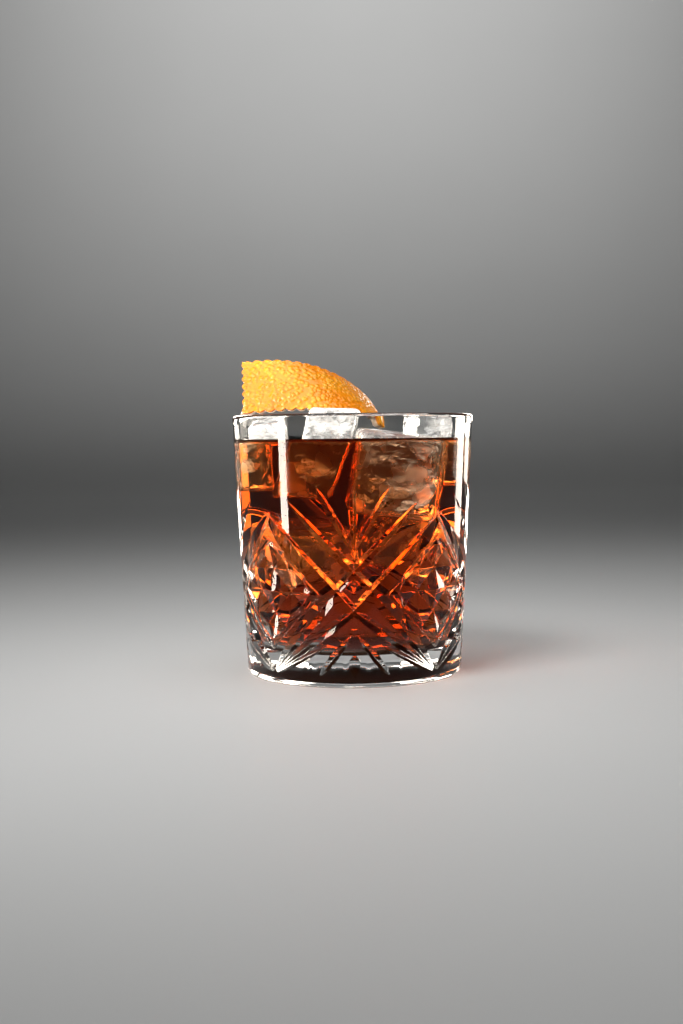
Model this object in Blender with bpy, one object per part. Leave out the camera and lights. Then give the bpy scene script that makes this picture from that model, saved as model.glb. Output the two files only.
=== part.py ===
"""Negroni on the rocks: a cut-glass tumbler, the drink, four ice cubes and a pinked orange peel."""
import math

import bmesh
import bpy
from mathutils import Euler, Matrix, Vector
from mathutils.geometry import delaunay_2d_cdt

MM = 0.001
GAP = 0.3               # clearance between pieces that touch, in mm

# ---- tumbler, in mm: a slightly tapered body with a thick clear base
HEIGHT = 90.0           # foot to rim
RIM_R = 42.0            # outer radius at the rim
FOOT_R = 37.55          # outer radius of the wall carried down to the table
RIM_WALL = 2.3          # glass thickness at the fire-polished rim
HEEL = ((36.3, 0.0), (37.1, 0.8), (37.5, 1.9))
BASE_THICK = 9.8        # glass under the drink
CORNER_R = 12.0         # inside bottom corner
CORNER_WALL_R = 33.95   # inner radius just above that corner
CORNER_TOP = 22.0
TURN = 5.0              # degrees per facet round the body
BORE_STEP = 7.5         # degrees per facet of the drink

# ---- the cut pattern: angle in degrees from the middle of one star, height in mm, depth in mm
UNROLL_R = 40.0         # radius at which the wall is laid flat
PATTERN_LOW = 3.2
PATTERN_HIGH = 70.0
FIELD_ANGLE = 45.0      # middle of the hobnail field between two stars
FIELD_Z = 31.4
CELL = (11.45, 7.45)    # half width in degrees and half height in mm of one hobnail
HOBNAIL_DEPTH = 1.75
HOBNAIL_SPREAD = 3.35   # half width over depth of a hobnail groove
HOBNAIL_REACH = (1.06, 1.30)  # where a hobnail groove starts to rise and where it ends, in cells
BORDER = (2.33, 2.53)   # where the field ends above and below, in half hobnails from its middle
BORDER_DEPTH = 0.62
BORDER_SPREAD = (3.1, 0.9)    # towards the hobnails and away from them

# ---- drink
LEVEL = 80.7
MENISCUS = ((0.0, 0.95), (0.55, 0.45), (1.3, 0.14), (2.4, 0.0))

# ---- ice: centre, size, tilt in degrees, then top lean (x), top taper and corner radius
ICE = {
    "ice_front_right": ((13.0, -14.6, 69.6), (26.0, 22.5, 27.5), (3.0, 8.0, 5.0), 0.0, 1.0, 2.2),
    "ice_middle": ((-9.6, -4.5, 77.0), (16.4, 16.4, 30.8), (-2.0, 4.0, -3.0), 3.2, 1.06, 1.8),
    "ice_left": ((-28.9, -0.6, 75.6), (12.8, 16.0, 22.5), (2.0, -2.0, 4.0), -0.5, 1.04, 1.8),
    "ice_back_right": ((26.4, 8.6, 76.4), (14.0, 15.5, 21.5), (-3.0, 3.0, 16.0), 0.6, 1.04, 1.8),
}
ICE_ROUND_STEPS = 2

# ---- orange peel: a pinked strip, curled back about a slanting line
PEEL_LENGTH = 53.0
PEEL_WIDTH = 25.4
PEEL_THICK = 2.3
PEEL_CORNER = (-38.8, 5.2, 91.0)   # lower left corner of the skin side
PEEL_LEAN = 37.5        # degrees the strip leans back
PEEL_RISE = 4.5         # degrees its length rises to the right
PEEL_SLANT = 31.0       # degrees the curl runs off the strip's length
PEEL_FLAT = 15.0        # run before the curl
PEEL_CURL_R = 37.5
PEEL_DOME_R = 150.0     # slight roundness the other way, from the fruit
PINK_PITCH = 3.68
PINK_DEPTH = 1.0
PINK_POINTS = 6         # points on one scallop
PEEL_CELL = 3.4

COLOURS = {
    "glass": (0.97, 0.98, 0.98, 1.0),
    "negroni": (0.72, 0.16, 0.03, 1.0),
    "ice": (0.93, 0.95, 0.96, 1.0),
    "orange_peel": (1.0, 0.55, 0.05, 1.0),
}


def clear_scene():
    """Remove every object."""
    for obj in list(bpy.data.objects):
        bpy.data.objects.remove(obj, do_unlink=True)


def material(name):
    """A plain Principled material."""
    mat = bpy.data.materials.new(name)
    mat.use_nodes = True
    shader = mat.node_tree.nodes["Principled BSDF"]
    shader.inputs["Base Color"].default_value = COLOURS[name]
    shader.inputs["Roughness"].default_value = 0.45 if name == "orange_peel" else 0.03
    if name != "orange_peel":
        shader.inputs["Transmission Weight"].default_value = 1.0
        shader.inputs["IOR"].default_value = {"glass": 1.5, "negroni": 1.35, "ice": 1.31}[name]
    return mat


def new_object(name, bm, mat=None):
    """A mesh object in metres from a bmesh in millimetres, which is used up."""
    bmesh.ops.scale(bm, vec=(MM, MM, MM), verts=bm.verts)
    mesh = bpy.data.meshes.new(name)
    bm.to_mesh(mesh)
    bm.free()
    obj = bpy.data.objects.new(name, mesh)
    bpy.context.scene.collection.objects.link(obj)
    if mat:
        mesh.materials.append(mat)
    return obj


def applied(obj):
    """Bake an object's modifiers into its mesh."""
    graph = bpy.context.evaluated_depsgraph_get()
    mesh = bpy.data.meshes.new_from_object(obj.evaluated_get(graph))
    obj.modifiers.clear()
    obj.data = mesh


def cut(obj, cutter):
    """Take one closed shape away from another and drop the cutter."""
    cutter.hide_render = True
    cutter.display_type = "WIRE"
    mod = obj.modifiers.new("cut", "BOOLEAN")
    mod.operation = "DIFFERENCE"
    mod.solver = "EXACT"
    mod.object = cutter
    applied(obj)
    bpy.data.objects.remove(cutter, do_unlink=True)


# ------------------------------------------------------------------ the cut pattern

def grooves():
    """Every groove of one star and its fields: ends, depths along it and the two side spreads.

    A groove is (start, end, ((place, depth), ...), spread left, spread right), with start and end
    as (angle, height) and place running from 0 at the start to 1 at the end.
    """
    lens = ((0.0, 0.0), (0.3, 0.8), (0.6, 1.0), (0.85, 0.75), (1.0, 0.0))
    found = [
        # upper arm beside the field: narrow towards the arm, wide towards the field
        ((-46.8, 57.8), (1.5, 24.6), shape(1.8, ((0.0, 0.0), (0.06, 0.45), (0.25, 0.9), (0.78, 1.0),
                                                 (0.96, 0.75), (1.0, 0.0))), 1.15, 2.2),
        # upper arm beside the fan
        ((-33.0, 62.2), (10.6, 31.0), shape(1.15, ((0.0, 0.0), (0.25, 0.75), (0.6, 1.0),
                                                   (0.94, 1.0), (1.0, 0.0))), 1.35, 1.35),
        # lower arm beside the field
        ((8.2, 32.7), (44.6, 4.6), shape(1.5, ((0.0, 0.0), (0.06, 0.9), (0.3, 1.0), (0.8, 0.62),
                                               (1.0, 0.0))), 1.8, 1.9),
        # lower arm beside the leaves
        ((-1.8, 26.5), (44.4, 4.2), shape(1.25, ((0.0, 0.0), (0.06, 0.8), (0.35, 1.0), (0.8, 0.7),
                                                 (1.0, 0.0))), 1.3, 1.6),
        # fan above the star
        ((0.0, 44.6), (17.4, 66.4), shape(0.95, lens), 1.4, 1.4),
        ((0.0, 44.2), (0.0, 67.2), shape(0.7, lens), 1.5, 1.5),
        # leaves below the star
        ((0.6, 18.2), (17.8, 3.9), shape(1.0, lens), 1.5, 1.3),
        ((13.5, 14.0), (43.6, 4.0), shape(0.85, lens), 1.4, 1.4),
        ((0.0, 11.4), (0.0, 3.5), shape(1.15, ((0.0, 0.0), (0.28, 1.0), (0.62, 0.9), (1.0, 0.0))),
         1.75, 1.75),
    ]
    return found + border_grooves() + hobnail_grooves()


def shape(depth, rises):
    """Depths along a groove from its greatest depth and its rises."""
    return tuple((place, depth * rise) for place, rise in rises)


def field_place(u, v):
    """A place in the field from its two slanting coordinates, counted in half hobnails."""
    return (FIELD_ANGLE + (u - v) / 2 * CELL[0], FIELD_Z + (u + v) / 2 * CELL[1])


def border_grooves():
    """The thin grooves that bound a field, on its side by the star."""
    high, low = BORDER
    gentle, steep = BORDER_SPREAD
    depths = shape(BORDER_DEPTH, ((0.0, 0.0), (0.05, 1.0), (0.95, 1.0), (1.0, 0.0)))
    return [
        (field_place(high + 0.1, high), field_place(-low - 0.1, high), depths, gentle, steep),
        (field_place(-low, high + 0.1), field_place(-low, -low - 0.1), depths, gentle, steep),
    ]


def hobnail_grooves():
    """The crossing grooves of one field, drawn round its own middle."""
    half_a, half_z = CELL
    inner, outer = HOBNAIL_REACH
    rises = ((0.0, 0.0), (0.5 - inner / outer / 2, 1.0), (0.5 + inner / outer / 2, 1.0), (1.0, 0.0))
    found = []
    for side in (-1, 1):
        middle = (FIELD_ANGLE + side * half_a / 2, FIELD_Z + side * half_z / 2)
        start = (middle[0] - outer * half_a, middle[1] + outer * half_z)
        end = (middle[0] + outer * half_a, middle[1] - outer * half_z)
        found.append((start, end, shape(HOBNAIL_DEPTH, rises), HOBNAIL_SPREAD, HOBNAIL_SPREAD))
    return found


def mirrored(groove, about):
    """A groove mirrored in an upright line."""
    start, end, depths, left, right = groove
    return ((2 * about - start[0], start[1]), (2 * about - end[0], end[1]), depths, right, left)


def half_tile_grooves():
    """All the grooves that reach the strip from a star's middle to its field's middle."""
    found = []
    for groove in grooves():
        for first in (groove, mirrored(groove, 0.0)):
            for second in (first, mirrored(first, FIELD_ANGLE)):
                angles = sorted((second[0][0], second[1][0]))
                if angles[1] < -3.5 or angles[0] > FIELD_ANGLE + 3.5:
                    continue
                key = tuple(sorted((round(a, 3), round(z, 3)) for a, z in second[:2]))
                if key not in [k for k, _ in found]:
                    found.append((key, second))
    return [groove for _, groove in found]


def groove_planes(groove):
    """A groove as planes (a, b, c): its depth at (x, z) is the least of a * x + b * z + c."""
    start, end, depths, left, right = groove
    scale = math.radians(1.0) * UNROLL_R
    a = Vector((start[0] * scale, start[1]))
    b = Vector((end[0] * scale, end[1]))
    length = (b - a).length
    along = (b - a) / length
    side = Vector((-along.y, along.x))
    planes = []
    for (p0, d0), (p1, d1) in zip(depths, depths[1:]):
        slope = (d1 - d0) / ((p1 - p0) * length)
        for sign, spread in ((1.0, left), (-1.0, right)):
            grad = along * slope - side * sign / spread
            planes.append((grad.x, grad.y, d0 - slope * p0 * length - grad.dot(a)))
    return planes


def value(plane, point):
    """Height of a plane over a point."""
    return plane[0] * point[0] + plane[1] * point[1] + plane[2]


def minus(p, q):
    """Difference of two planes."""
    return (p[0] - q[0], p[1] - q[1], p[2] - q[2])


def clip(polygon, plane):
    """The part of a convex polygon where a plane isn't negative."""
    kept = []
    for i, here in enumerate(polygon):
        there = polygon[(i + 1) % len(polygon)]
        h, t = value(plane, here), value(plane, there)
        if h >= 0:
            kept.append(here)
        if (h > 0 > t) or (h < 0 < t):
            f = h / (h - t)
            kept.append((here[0] + (there[0] - here[0]) * f, here[1] + (there[1] - here[1]) * f))
    return kept


def groove_facets(planes, box):
    """The facets of one groove: (plane, outline) where that plane is the least and is positive."""
    facets = []
    for i, plane in enumerate(planes):
        outline = clip(box, plane)
        for j, other in enumerate(planes):
            if j != i and outline:
                outline = clip(outline, minus(other, plane))
        if len(outline) > 2:
            facets.append((plane, outline))
    return facets


def span_inside(a, b, outline, plane):
    """The stretch of the line from a to b inside an outline and where a plane is positive."""
    low, high = 0.0, 1.0
    limits = []
    count = len(outline)
    middle = (sum(p[0] for p in outline) / count, sum(p[1] for p in outline) / count)
    for i in range(count):
        p, q = outline[i], outline[(i + 1) % count]
        edge = (p[1] - q[1], q[0] - p[0], p[0] * q[1] - q[0] * p[1])
        sign = 1.0 if value(edge, middle) > 0 else -1.0
        limits.append((sign * value(edge, a), sign * value(edge, b)))
    limits.append((value(plane, a), value(plane, b)))
    for at_a, at_b in limits:
        if at_a <= 0 and at_b <= 0:
            return None
        if at_a < 0 < at_b:
            low = max(low, at_a / (at_a - at_b))
        elif at_b < 0 < at_a:
            high = min(high, at_a / (at_a - at_b))
    return (low, high) if high - low > 1e-6 else None


def visible(a, b, plane, others):
    """The stretches of a crease that no deeper groove cuts away."""
    spans = [(0.0, 1.0)]
    for other, outline in others:
        rise = minus(other, plane)
        hidden = span_inside(a, b, outline, (rise[0], rise[1], rise[2] - 2e-4))
        if hidden:
            left = [(s, min(e, hidden[0])) for s, e in spans if s < hidden[0]]
            spans = left + [(max(s, hidden[1]), e) for s, e in spans if e > hidden[1]]
    length = math.dist(a, b)
    for s, e in spans:
        if (e - s) * length > 2e-3:
            yield tuple((a[0] + (b[0] - a[0]) * f, a[1] + (b[1] - a[1]) * f) for f in (s, e))


def crease_lines(tents, box):
    """Every crease of the cut surface laid flat: edges of facets and lines where grooves meet."""
    lines = []
    flat = [(k, facet) for k, tent in enumerate(tents) for facet in tent]
    for k, (plane, outline) in flat:
        others = [facet for n, facet in flat if n != k]
        for i, here in enumerate(outline):
            there = outline[(i + 1) % len(outline)]
            lines += visible(here, there, plane, others)
        for n, (other, other_outline) in flat:
            if n <= k:
                continue
            line = meeting_line(plane, outline, other, other_outline)
            if line:
                rest = [facet for m, facet in flat if m not in (k, n)]
                lines += visible(line[0], line[1], plane, rest)
    return lines


def meeting_line(plane, outline, other, other_outline):
    """The line along which two facets meet, or nothing."""
    a, b, c = minus(plane, other)
    size = math.hypot(a, b)
    if size < 1e-9:
        return None
    foot = (-a * c / size ** 2, -b * c / size ** 2)
    step = (-b / size * 200.0, a / size * 200.0)
    ends = [(foot[0] - step[0], foot[1] - step[1]), (foot[0] + step[0], foot[1] + step[1])]
    for shape_ in (outline, other_outline):
        span = span_inside(ends[0], ends[1], shape_, (0.0, 0.0, 1.0))
        if not span:
            return None
        ends = [tuple(ends[0][i] + (ends[1][i] - ends[0][i]) * f for i in (0, 1)) for f in span]
    return ends


def cut_strip(step):
    """Half a repeat of the pattern in the flat: points (x, z, depth) and triangles."""
    scale = math.radians(1.0) * UNROLL_R
    wide = FIELD_ANGLE * scale
    box = [(-9.0, PATTERN_LOW), (wide + 9.0, PATTERN_LOW),
           (wide + 9.0, PATTERN_HIGH), (-9.0, PATTERN_HIGH)]
    planes = [groove_planes(groove) for groove in half_tile_grooves()]
    lines = crease_lines([groove_facets(tent, box) for tent in planes], box)
    turns = round(FIELD_ANGLE / step)
    for k in range(turns + 1):
        x = wide * k / turns
        lines.append(((x, PATTERN_LOW), (x, PATTERN_HIGH)))
        if k < turns:
            for z in (PATTERN_LOW, PATTERN_HIGH):
                lines.append(((x, z), (wide * (k + 1) / turns, z)))
    lines = [kept for kept in (trimmed(line, wide) for line in lines) if kept]
    points = [Vector(end) for line in lines for end in line]
    edges = [(2 * i, 2 * i + 1) for i in range(len(lines))]
    verts, _, faces, _, _, _ = delaunay_2d_cdt(points, edges, [], 1, 4e-3)
    flat = []
    for vert in verts:
        depth = max(min(value(plane, vert) for plane in tent) for tent in planes)
        flat.append((min(max(vert.x, 0.0), wide), vert.y, max(depth, 0.0)))
    return flat, faces


def trimmed(line, wide):
    """A crease kept between the two mirror lines, or nothing if it lies outside."""
    (ax, az), (bx, bz) = line
    low, high = 0.0, 1.0
    for at_a, at_b in ((ax, bx), (wide - ax, wide - bx)):
        if at_a < 0 and at_b < 0:
            return None
        if at_a < 0 < at_b:
            low = max(low, at_a / (at_a - at_b))
        elif at_b < 0 < at_a:
            high = min(high, at_a / (at_a - at_b))
    if high - low < 1e-6:
        return None
    return tuple((ax + (bx - ax) * f, az + (bz - az) * f) for f in (low, high))


def wall_r(z):
    """Outer radius of the uncut wall at a height."""
    return FOOT_R + (RIM_R - FOOT_R) * z / HEIGHT


def add_pattern(bm):
    """Roll the cut strip round the body, eight times, every other one mirrored."""
    points, faces = cut_strip(TURN)
    for k in range(8):
        flip = k % 2
        turn = (k + flip) * FIELD_ANGLE
        verts = []
        for x, z, depth in points:
            angle = math.degrees(x / UNROLL_R)
            theta = math.radians(turn + (-angle if flip else angle))
            r = wall_r(z) - depth
            verts.append(bm.verts.new((r * math.sin(theta), -r * math.cos(theta), z)))
        for face in faces:
            loop = [verts[i] for i in face]
            bm.faces.new(loop[::-1] if flip else loop)


# ------------------------------------------------------------------ turned bodies

def bore_profile(gap):
    """Inside of the tumbler from the middle of its bottom to the start of the rim, in mm."""
    lean = math.atan2(RIM_R - RIM_WALL - CORNER_WALL_R, HEIGHT - 1.1 - CORNER_TOP)
    centre_z = BASE_THICK + CORNER_R
    at_centre = CORNER_WALL_R + (centre_z - CORNER_TOP) * math.tan(lean)
    centre_r = at_centre - CORNER_R / math.cos(lean)
    radius = CORNER_R - gap
    points = [(0.0, BASE_THICK + gap)]
    steps = 6
    for k in range(steps + 1):
        turn = math.radians(90) * k / steps - lean * k / steps
        points.append((centre_r + radius * math.sin(turn), centre_z - radius * math.cos(turn)))
    return points, lean, centre_r, centre_z


def bore_r(z, gap):
    """Inner radius of the straight part of the wall at a height."""
    _, lean, centre_r, centre_z = bore_profile(gap)
    return centre_r + (CORNER_R - gap) / math.cos(lean) + (z - centre_z) * math.tan(lean)


def turned(bm, profile, step):
    """Turn a profile of (radius, height) pairs about the upright axis; radius 0 closes an end."""
    count = round(360 / step)
    rings = []
    for r, z in profile:
        if r == 0.0:
            rings.append([bm.verts.new((0.0, 0.0, z))])
            continue
        ring = []
        for k in range(count):
            theta = math.radians(k * step)
            ring.append(bm.verts.new((r * math.sin(theta), -r * math.cos(theta), z)))
        rings.append(ring)
    for low, high in zip(rings, rings[1:]):
        for k in range(count):
            n = (k + 1) % count
            if len(low) == 1:
                bm.faces.new((low[0], high[n], high[k]))
            elif len(high) == 1:
                bm.faces.new((low[k], low[n], high[0]))
            else:
                bm.faces.new((low[k], low[n], high[n], high[k]))


def rim_profile():
    """From the top of the pattern over the rounded rim to the top of the bore."""
    half = RIM_WALL / 2
    centre_r = RIM_R - half
    centre_z = HEIGHT - half
    points = [(wall_r(PATTERN_HIGH), PATTERN_HIGH)]
    for k in range(7):
        turn = math.radians(180) * k / 6
        points.append((centre_r + half * math.cos(turn), centre_z + half * math.sin(turn)))
    return points


def build_glass(mat):
    """Tumbler: heel, cut wall, rounded rim, bore and flat foot, one closed skin."""
    bm = bmesh.new()
    inside = bore_profile(0.0)[0]
    turned(bm, rim_profile() + inside[::-1], TURN)
    turned(bm, ((0.0, 0.0),) + HEEL + ((wall_r(PATTERN_LOW), PATTERN_LOW),), TURN)
    add_pattern(bm)
    bmesh.ops.remove_doubles(bm, verts=bm.verts, dist=0.003)
    loose = [v for v in bm.verts if not v.link_faces]
    bmesh.ops.delete(bm, geom=loose, context="VERTS")
    bmesh.ops.triangulate(bm, faces=bm.faces[:])
    bmesh.ops.recalc_face_normals(bm, faces=bm.faces[:])
    for face in bm.faces:
        face.smooth = True
    for edge in bm.edges:
        edge.smooth = edge.calc_face_angle(0.0) < math.radians(12)
    return new_object("glass", bm, mat)


# ------------------------------------------------------------------ drink and ice

def ice_block(spec, grow, steps):
    """One rounded, slightly uneven cube as a bmesh, grown outwards by a clearance."""
    centre, size, tilt, lean, taper, radius = spec
    bm = bmesh.new()
    bmesh.ops.create_cube(bm, size=1.0)
    full = Vector(size) + Vector((2 * grow,) * 3)
    bmesh.ops.scale(bm, vec=full, verts=bm.verts)
    for vert in bm.verts:
        up = vert.co.z / size[2]
        vert.co.x = vert.co.x * (1 + (taper - 1) * 2 * up) + lean * 2 * up
        vert.co.y = vert.co.y * (1 + (taper - 1) * 2 * up)
    bmesh.ops.bevel(bm, geom=bm.edges[:], offset=radius + grow, offset_type="OFFSET",
                    segments=steps, profile=0.5, affect="EDGES", clamp_overlap=True)
    turn = Euler([math.radians(a) for a in tilt]).to_matrix().to_4x4()
    bmesh.ops.transform(bm, matrix=Matrix.Translation(centre) @ turn, verts=bm.verts)
    bmesh.ops.triangulate(bm, faces=bm.faces[:])
    bmesh.ops.recalc_face_normals(bm, faces=bm.faces[:])
    return bm


def build_ice(name, mat):
    """One cube that stands out of the drink."""
    bm = ice_block(ICE[name], 0.0, ICE_ROUND_STEPS)
    for face in bm.faces:
        face.smooth = True
    for edge in bm.edges:
        edge.smooth = edge.calc_face_angle(0.0) < math.radians(60)
    return new_object(name, bm, mat)


def build_drink(mat):
    """Drink filling the bore up to its level, with a meniscus and room for the ice."""
    points = bore_profile(GAP)[0]
    top = [(bore_r(LEVEL + rise, GAP) - inset, LEVEL + rise) for inset, rise in MENISCUS]
    bm = bmesh.new()
    turned(bm, points + top + [(0.0, LEVEL)], BORE_STEP)
    bmesh.ops.triangulate(bm, faces=bm.faces[:])
    bmesh.ops.recalc_face_normals(bm, faces=bm.faces[:])
    drink = new_object("drink", bm, mat)
    for spec in ICE.values():
        cut(drink, new_object("cutter", ice_block(spec, GAP, ICE_ROUND_STEPS)))
    bm = bmesh.new()
    bm.from_mesh(drink.data)
    bmesh.ops.remove_doubles(bm, verts=bm.verts, dist=0.012 * MM)
    bmesh.ops.triangulate(bm, faces=bm.faces[:])
    bm.to_mesh(drink.data)
    bm.free()
    return drink


# ------------------------------------------------------------------ orange peel

def peel_outline():
    """Scalloped outline of the flat strip, anticlockwise, as (along, across) points."""
    counts = [round(side / PINK_PITCH) for side in (PEEL_LENGTH, PEEL_WIDTH)]
    corners = ((0, 0), (PEEL_LENGTH, 0), (PEEL_LENGTH, PEEL_WIDTH), (0, PEEL_WIDTH))
    points = []
    for k in range(4):
        a = Vector(corners[k])
        b = Vector(corners[(k + 1) % 4])
        out = Vector(((b - a).y, -(b - a).x)).normalized()
        total = counts[k % 2] * PINK_POINTS
        for i in range(total):
            wave = abs(math.sin(math.pi * i / PINK_POINTS)) - 1.0
            fade = min(i, total - i, PINK_POINTS / 2) / (PINK_POINTS / 2)
            points.append(a + (b - a) * i / total + out * (PINK_DEPTH * wave * fade))
    return points


def peel_mesh_2d(cell):
    """Triangles of the flat strip: scalloped edge and an even grid inside."""
    outline = peel_outline()
    count = len(outline)
    points = list(outline)
    rows = round((PEEL_WIDTH - 2 * 2.6) / cell)
    cols = round((PEEL_LENGTH - 2 * 2.6) / cell)
    for i in range(cols + 1):
        for j in range(rows + 1):
            points.append(Vector((2.6 + (PEEL_LENGTH - 5.2) * i / cols,
                                  2.6 + (PEEL_WIDTH - 5.2) * j / rows)))
    edges = [(i, (i + 1) % count) for i in range(count)]
    verts, _, faces, _, _, _ = delaunay_2d_cdt(points, edges, [], 1, 1e-6)
    return verts, faces, count


def peel_point(u, v, depth):
    """Place a point of the strip, depth under its skin, in mm."""
    slant = math.radians(PEEL_SLANT)
    lean = math.radians(PEEL_LEAN)
    run = u * math.cos(slant) + v * math.sin(slant)
    over = -u * math.sin(slant) + v * math.cos(slant)
    rise = math.radians(PEEL_RISE)
    length = Vector((math.cos(rise), 0.0, math.sin(rise)))
    width = Vector((-math.sin(rise) * math.cos(lean), math.sin(lean),
                    math.cos(rise) * math.cos(lean)))
    normal = length.cross(width)
    forward = length * math.cos(slant) + width * math.sin(slant)
    across = -length * math.sin(slant) + width * math.cos(slant)
    bend = max(0.0, run - PEEL_FLAT) / PEEL_CURL_R
    flat = min(run, PEEL_FLAT)
    x = flat + (PEEL_CURL_R - depth) * math.sin(bend)
    y = (PEEL_CURL_R - depth) * (1 - math.cos(bend)) + depth
    y += (over * over) / (2 * PEEL_DOME_R)
    return Vector(PEEL_CORNER) + forward * x + across * over - normal * y


def build_peel(mat):
    """Pinked strip of orange peel, both faces split alike, curled back at its right."""
    verts, faces, count = peel_mesh_2d(PEEL_CELL)
    bm = bmesh.new()
    skin = [bm.verts.new(peel_point(p.x, p.y, 0.0)) for p in verts]
    pith = [bm.verts.new(peel_point(p.x, p.y, PEEL_THICK)) for p in verts]
    for face in faces:
        bm.faces.new([skin[i] for i in face])
        bm.faces.new([pith[i] for i in reversed(face)])
    for i in range(count):
        n = (i + 1) % count
        bm.faces.new((skin[n], skin[i], pith[i], pith[n]))
    bmesh.ops.triangulate(bm, faces=bm.faces[:])
    bmesh.ops.recalc_face_normals(bm, faces=bm.faces[:])
    for face in bm.faces:
        face.smooth = True
    for edge in bm.edges:
        edge.smooth = edge.calc_face_angle(0.0) < math.radians(50)
    return new_object("orange_peel", bm, mat)


def main():
    """Build every piece of the drink."""
    clear_scene()
    mats = {name: material(name) for name in COLOURS}
    build_glass(mats["glass"])
    build_drink(mats["negroni"])
    for name in ICE:
        build_ice(name, mats["ice"])
    build_peel(mats["orange_peel"])


main()
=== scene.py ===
"""An iced negroni in a cut-glass tumbler: the looks of glass, drink, ice and peel."""

import logging
import math
from dataclasses import dataclass, field
from enum import Enum
from typing import Callable, Iterator, Optional, Sequence

import bmesh
import bpy
import numpy as np
from mathutils import Euler, Matrix, Vector, noise
from mathutils.geometry import delaunay_2d_cdt


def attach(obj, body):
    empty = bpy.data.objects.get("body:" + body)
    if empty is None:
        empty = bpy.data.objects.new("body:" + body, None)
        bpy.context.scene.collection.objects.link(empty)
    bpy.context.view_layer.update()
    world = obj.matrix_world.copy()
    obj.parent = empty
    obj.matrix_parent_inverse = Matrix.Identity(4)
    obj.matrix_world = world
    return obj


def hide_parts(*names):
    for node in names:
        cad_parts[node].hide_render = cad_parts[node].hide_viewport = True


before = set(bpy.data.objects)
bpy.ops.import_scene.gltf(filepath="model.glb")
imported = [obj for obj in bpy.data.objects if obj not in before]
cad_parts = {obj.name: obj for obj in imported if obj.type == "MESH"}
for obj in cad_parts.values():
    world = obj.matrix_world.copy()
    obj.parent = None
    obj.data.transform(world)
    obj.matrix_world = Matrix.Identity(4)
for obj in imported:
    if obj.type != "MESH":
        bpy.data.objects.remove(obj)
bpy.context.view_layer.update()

MM = 0.001
LOG = logging.getLogger("negroni")

Point = tuple[float, float]
Plane = tuple[float, float, float]
Segment = tuple[Point, Point]
Colour = tuple[float, float, float]
Facet = tuple[Plane, list[Point]]


# ---------------------------------------------------------------- mesh helpers

def mesh_object(name: str, verts: Sequence[Sequence[float]],
                faces: Sequence[Sequence[int]]) -> bpy.types.Object:
    """Make a smooth-shaded object from millimetre points.

    Args:
        name: name of the object and its mesh.
        verts: points in millimetres.
        faces: vertex indices of each face, outward side anticlockwise.

    Returns:
        The new object, linked to the scene, at the origin.
    """
    mesh = bpy.data.meshes.new(name)
    mesh.from_pydata([tuple(c * MM for c in v) for v in verts], [], [tuple(f) for f in faces])
    mesh.update()
    mesh.shade_smooth()
    obj = bpy.data.objects.new(name, mesh)
    bpy.context.scene.collection.objects.link(obj)
    return obj


def bmesh_object(name: str, bm: bmesh.types.BMesh) -> bpy.types.Object:
    """Make a smooth-shaded object from a bmesh.

    Args:
        name: name of the object and its mesh.
        bm: the mesh in millimetres, which is used up.

    Returns:
        The new object, linked to the scene, at the origin.
    """
    bmesh.ops.scale(bm, vec=(MM, MM, MM), verts=bm.verts)
    mesh = bpy.data.meshes.new(name)
    bm.to_mesh(mesh)
    bm.free()
    mesh.shade_smooth()
    obj = bpy.data.objects.new(name, mesh)
    bpy.context.scene.collection.objects.link(obj)
    return obj


def finish_by_place(obj: bpy.types.Object, dry: bpy.types.Material, wet: bpy.types.Material,
                    is_wet: Callable[[Vector, Vector], bool]) -> None:
    """Give a piece two finishes, sorted face by face.

    Args:
        obj: the piece.
        dry: finish of the faces in the air.
        wet: finish of the faces against the drink.
        is_wet: tells from a face's middle in millimetres and its normal which it is.
    """
    obj.data.materials.clear()
    obj.data.materials.append(dry)
    obj.data.materials.append(wet)
    for face in obj.data.polygons:
        face.material_index = int(is_wet(face.center / MM, face.normal))


def bake_modifiers(obj: bpy.types.Object) -> None:
    """Replace an object's mesh by its evaluated one and drop its modifiers.

    Args:
        obj: the object, which keeps its name.
    """
    graph = bpy.context.evaluated_depsgraph_get()
    mesh = bpy.data.meshes.new_from_object(obj.evaluated_get(graph))
    obj.modifiers.clear()
    obj.data = mesh


def subtract(obj: bpy.types.Object, cutter: bpy.types.Object) -> None:
    """Cut one closed shape out of another.

    Args:
        obj: the shape that is cut.
        cutter: the shape to take away, which is used up.
    """
    mod = obj.modifiers.new("cut", "BOOLEAN")
    mod.operation = "DIFFERENCE"
    mod.solver = "EXACT"
    mod.object = cutter
    bake_modifiers(obj)
    bpy.data.objects.remove(cutter, do_unlink=True)


def turned(bm: bmesh.types.BMesh, profile: Sequence[Point], step: float) -> None:
    """Turn a profile about the upright axis.

    Args:
        bm: mesh to add to, in millimetres.
        profile: (radius, height) pairs; a radius of 0 closes that end.
        step: degrees between neighbouring columns.
    """
    count = round(360 / step)
    rings = []
    for r, z in profile:
        if r == 0.0:
            rings.append([bm.verts.new((0.0, 0.0, z))])
            continue
        ring = []
        for k in range(count):
            theta = math.radians(k * step)
            ring.append(bm.verts.new((r * math.sin(theta), -r * math.cos(theta), z)))
        rings.append(ring)
    for low, high in zip(rings, rings[1:]):
        for k in range(count):
            n = (k + 1) % count
            if len(low) == 1:
                bm.faces.new((low[0], high[n], high[k]))
            elif len(high) == 1:
                bm.faces.new((low[k], low[n], high[0]))
            else:
                bm.faces.new((low[k], low[n], high[n], high[k]))


# ---------------------------------------------------------------- node helpers

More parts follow.
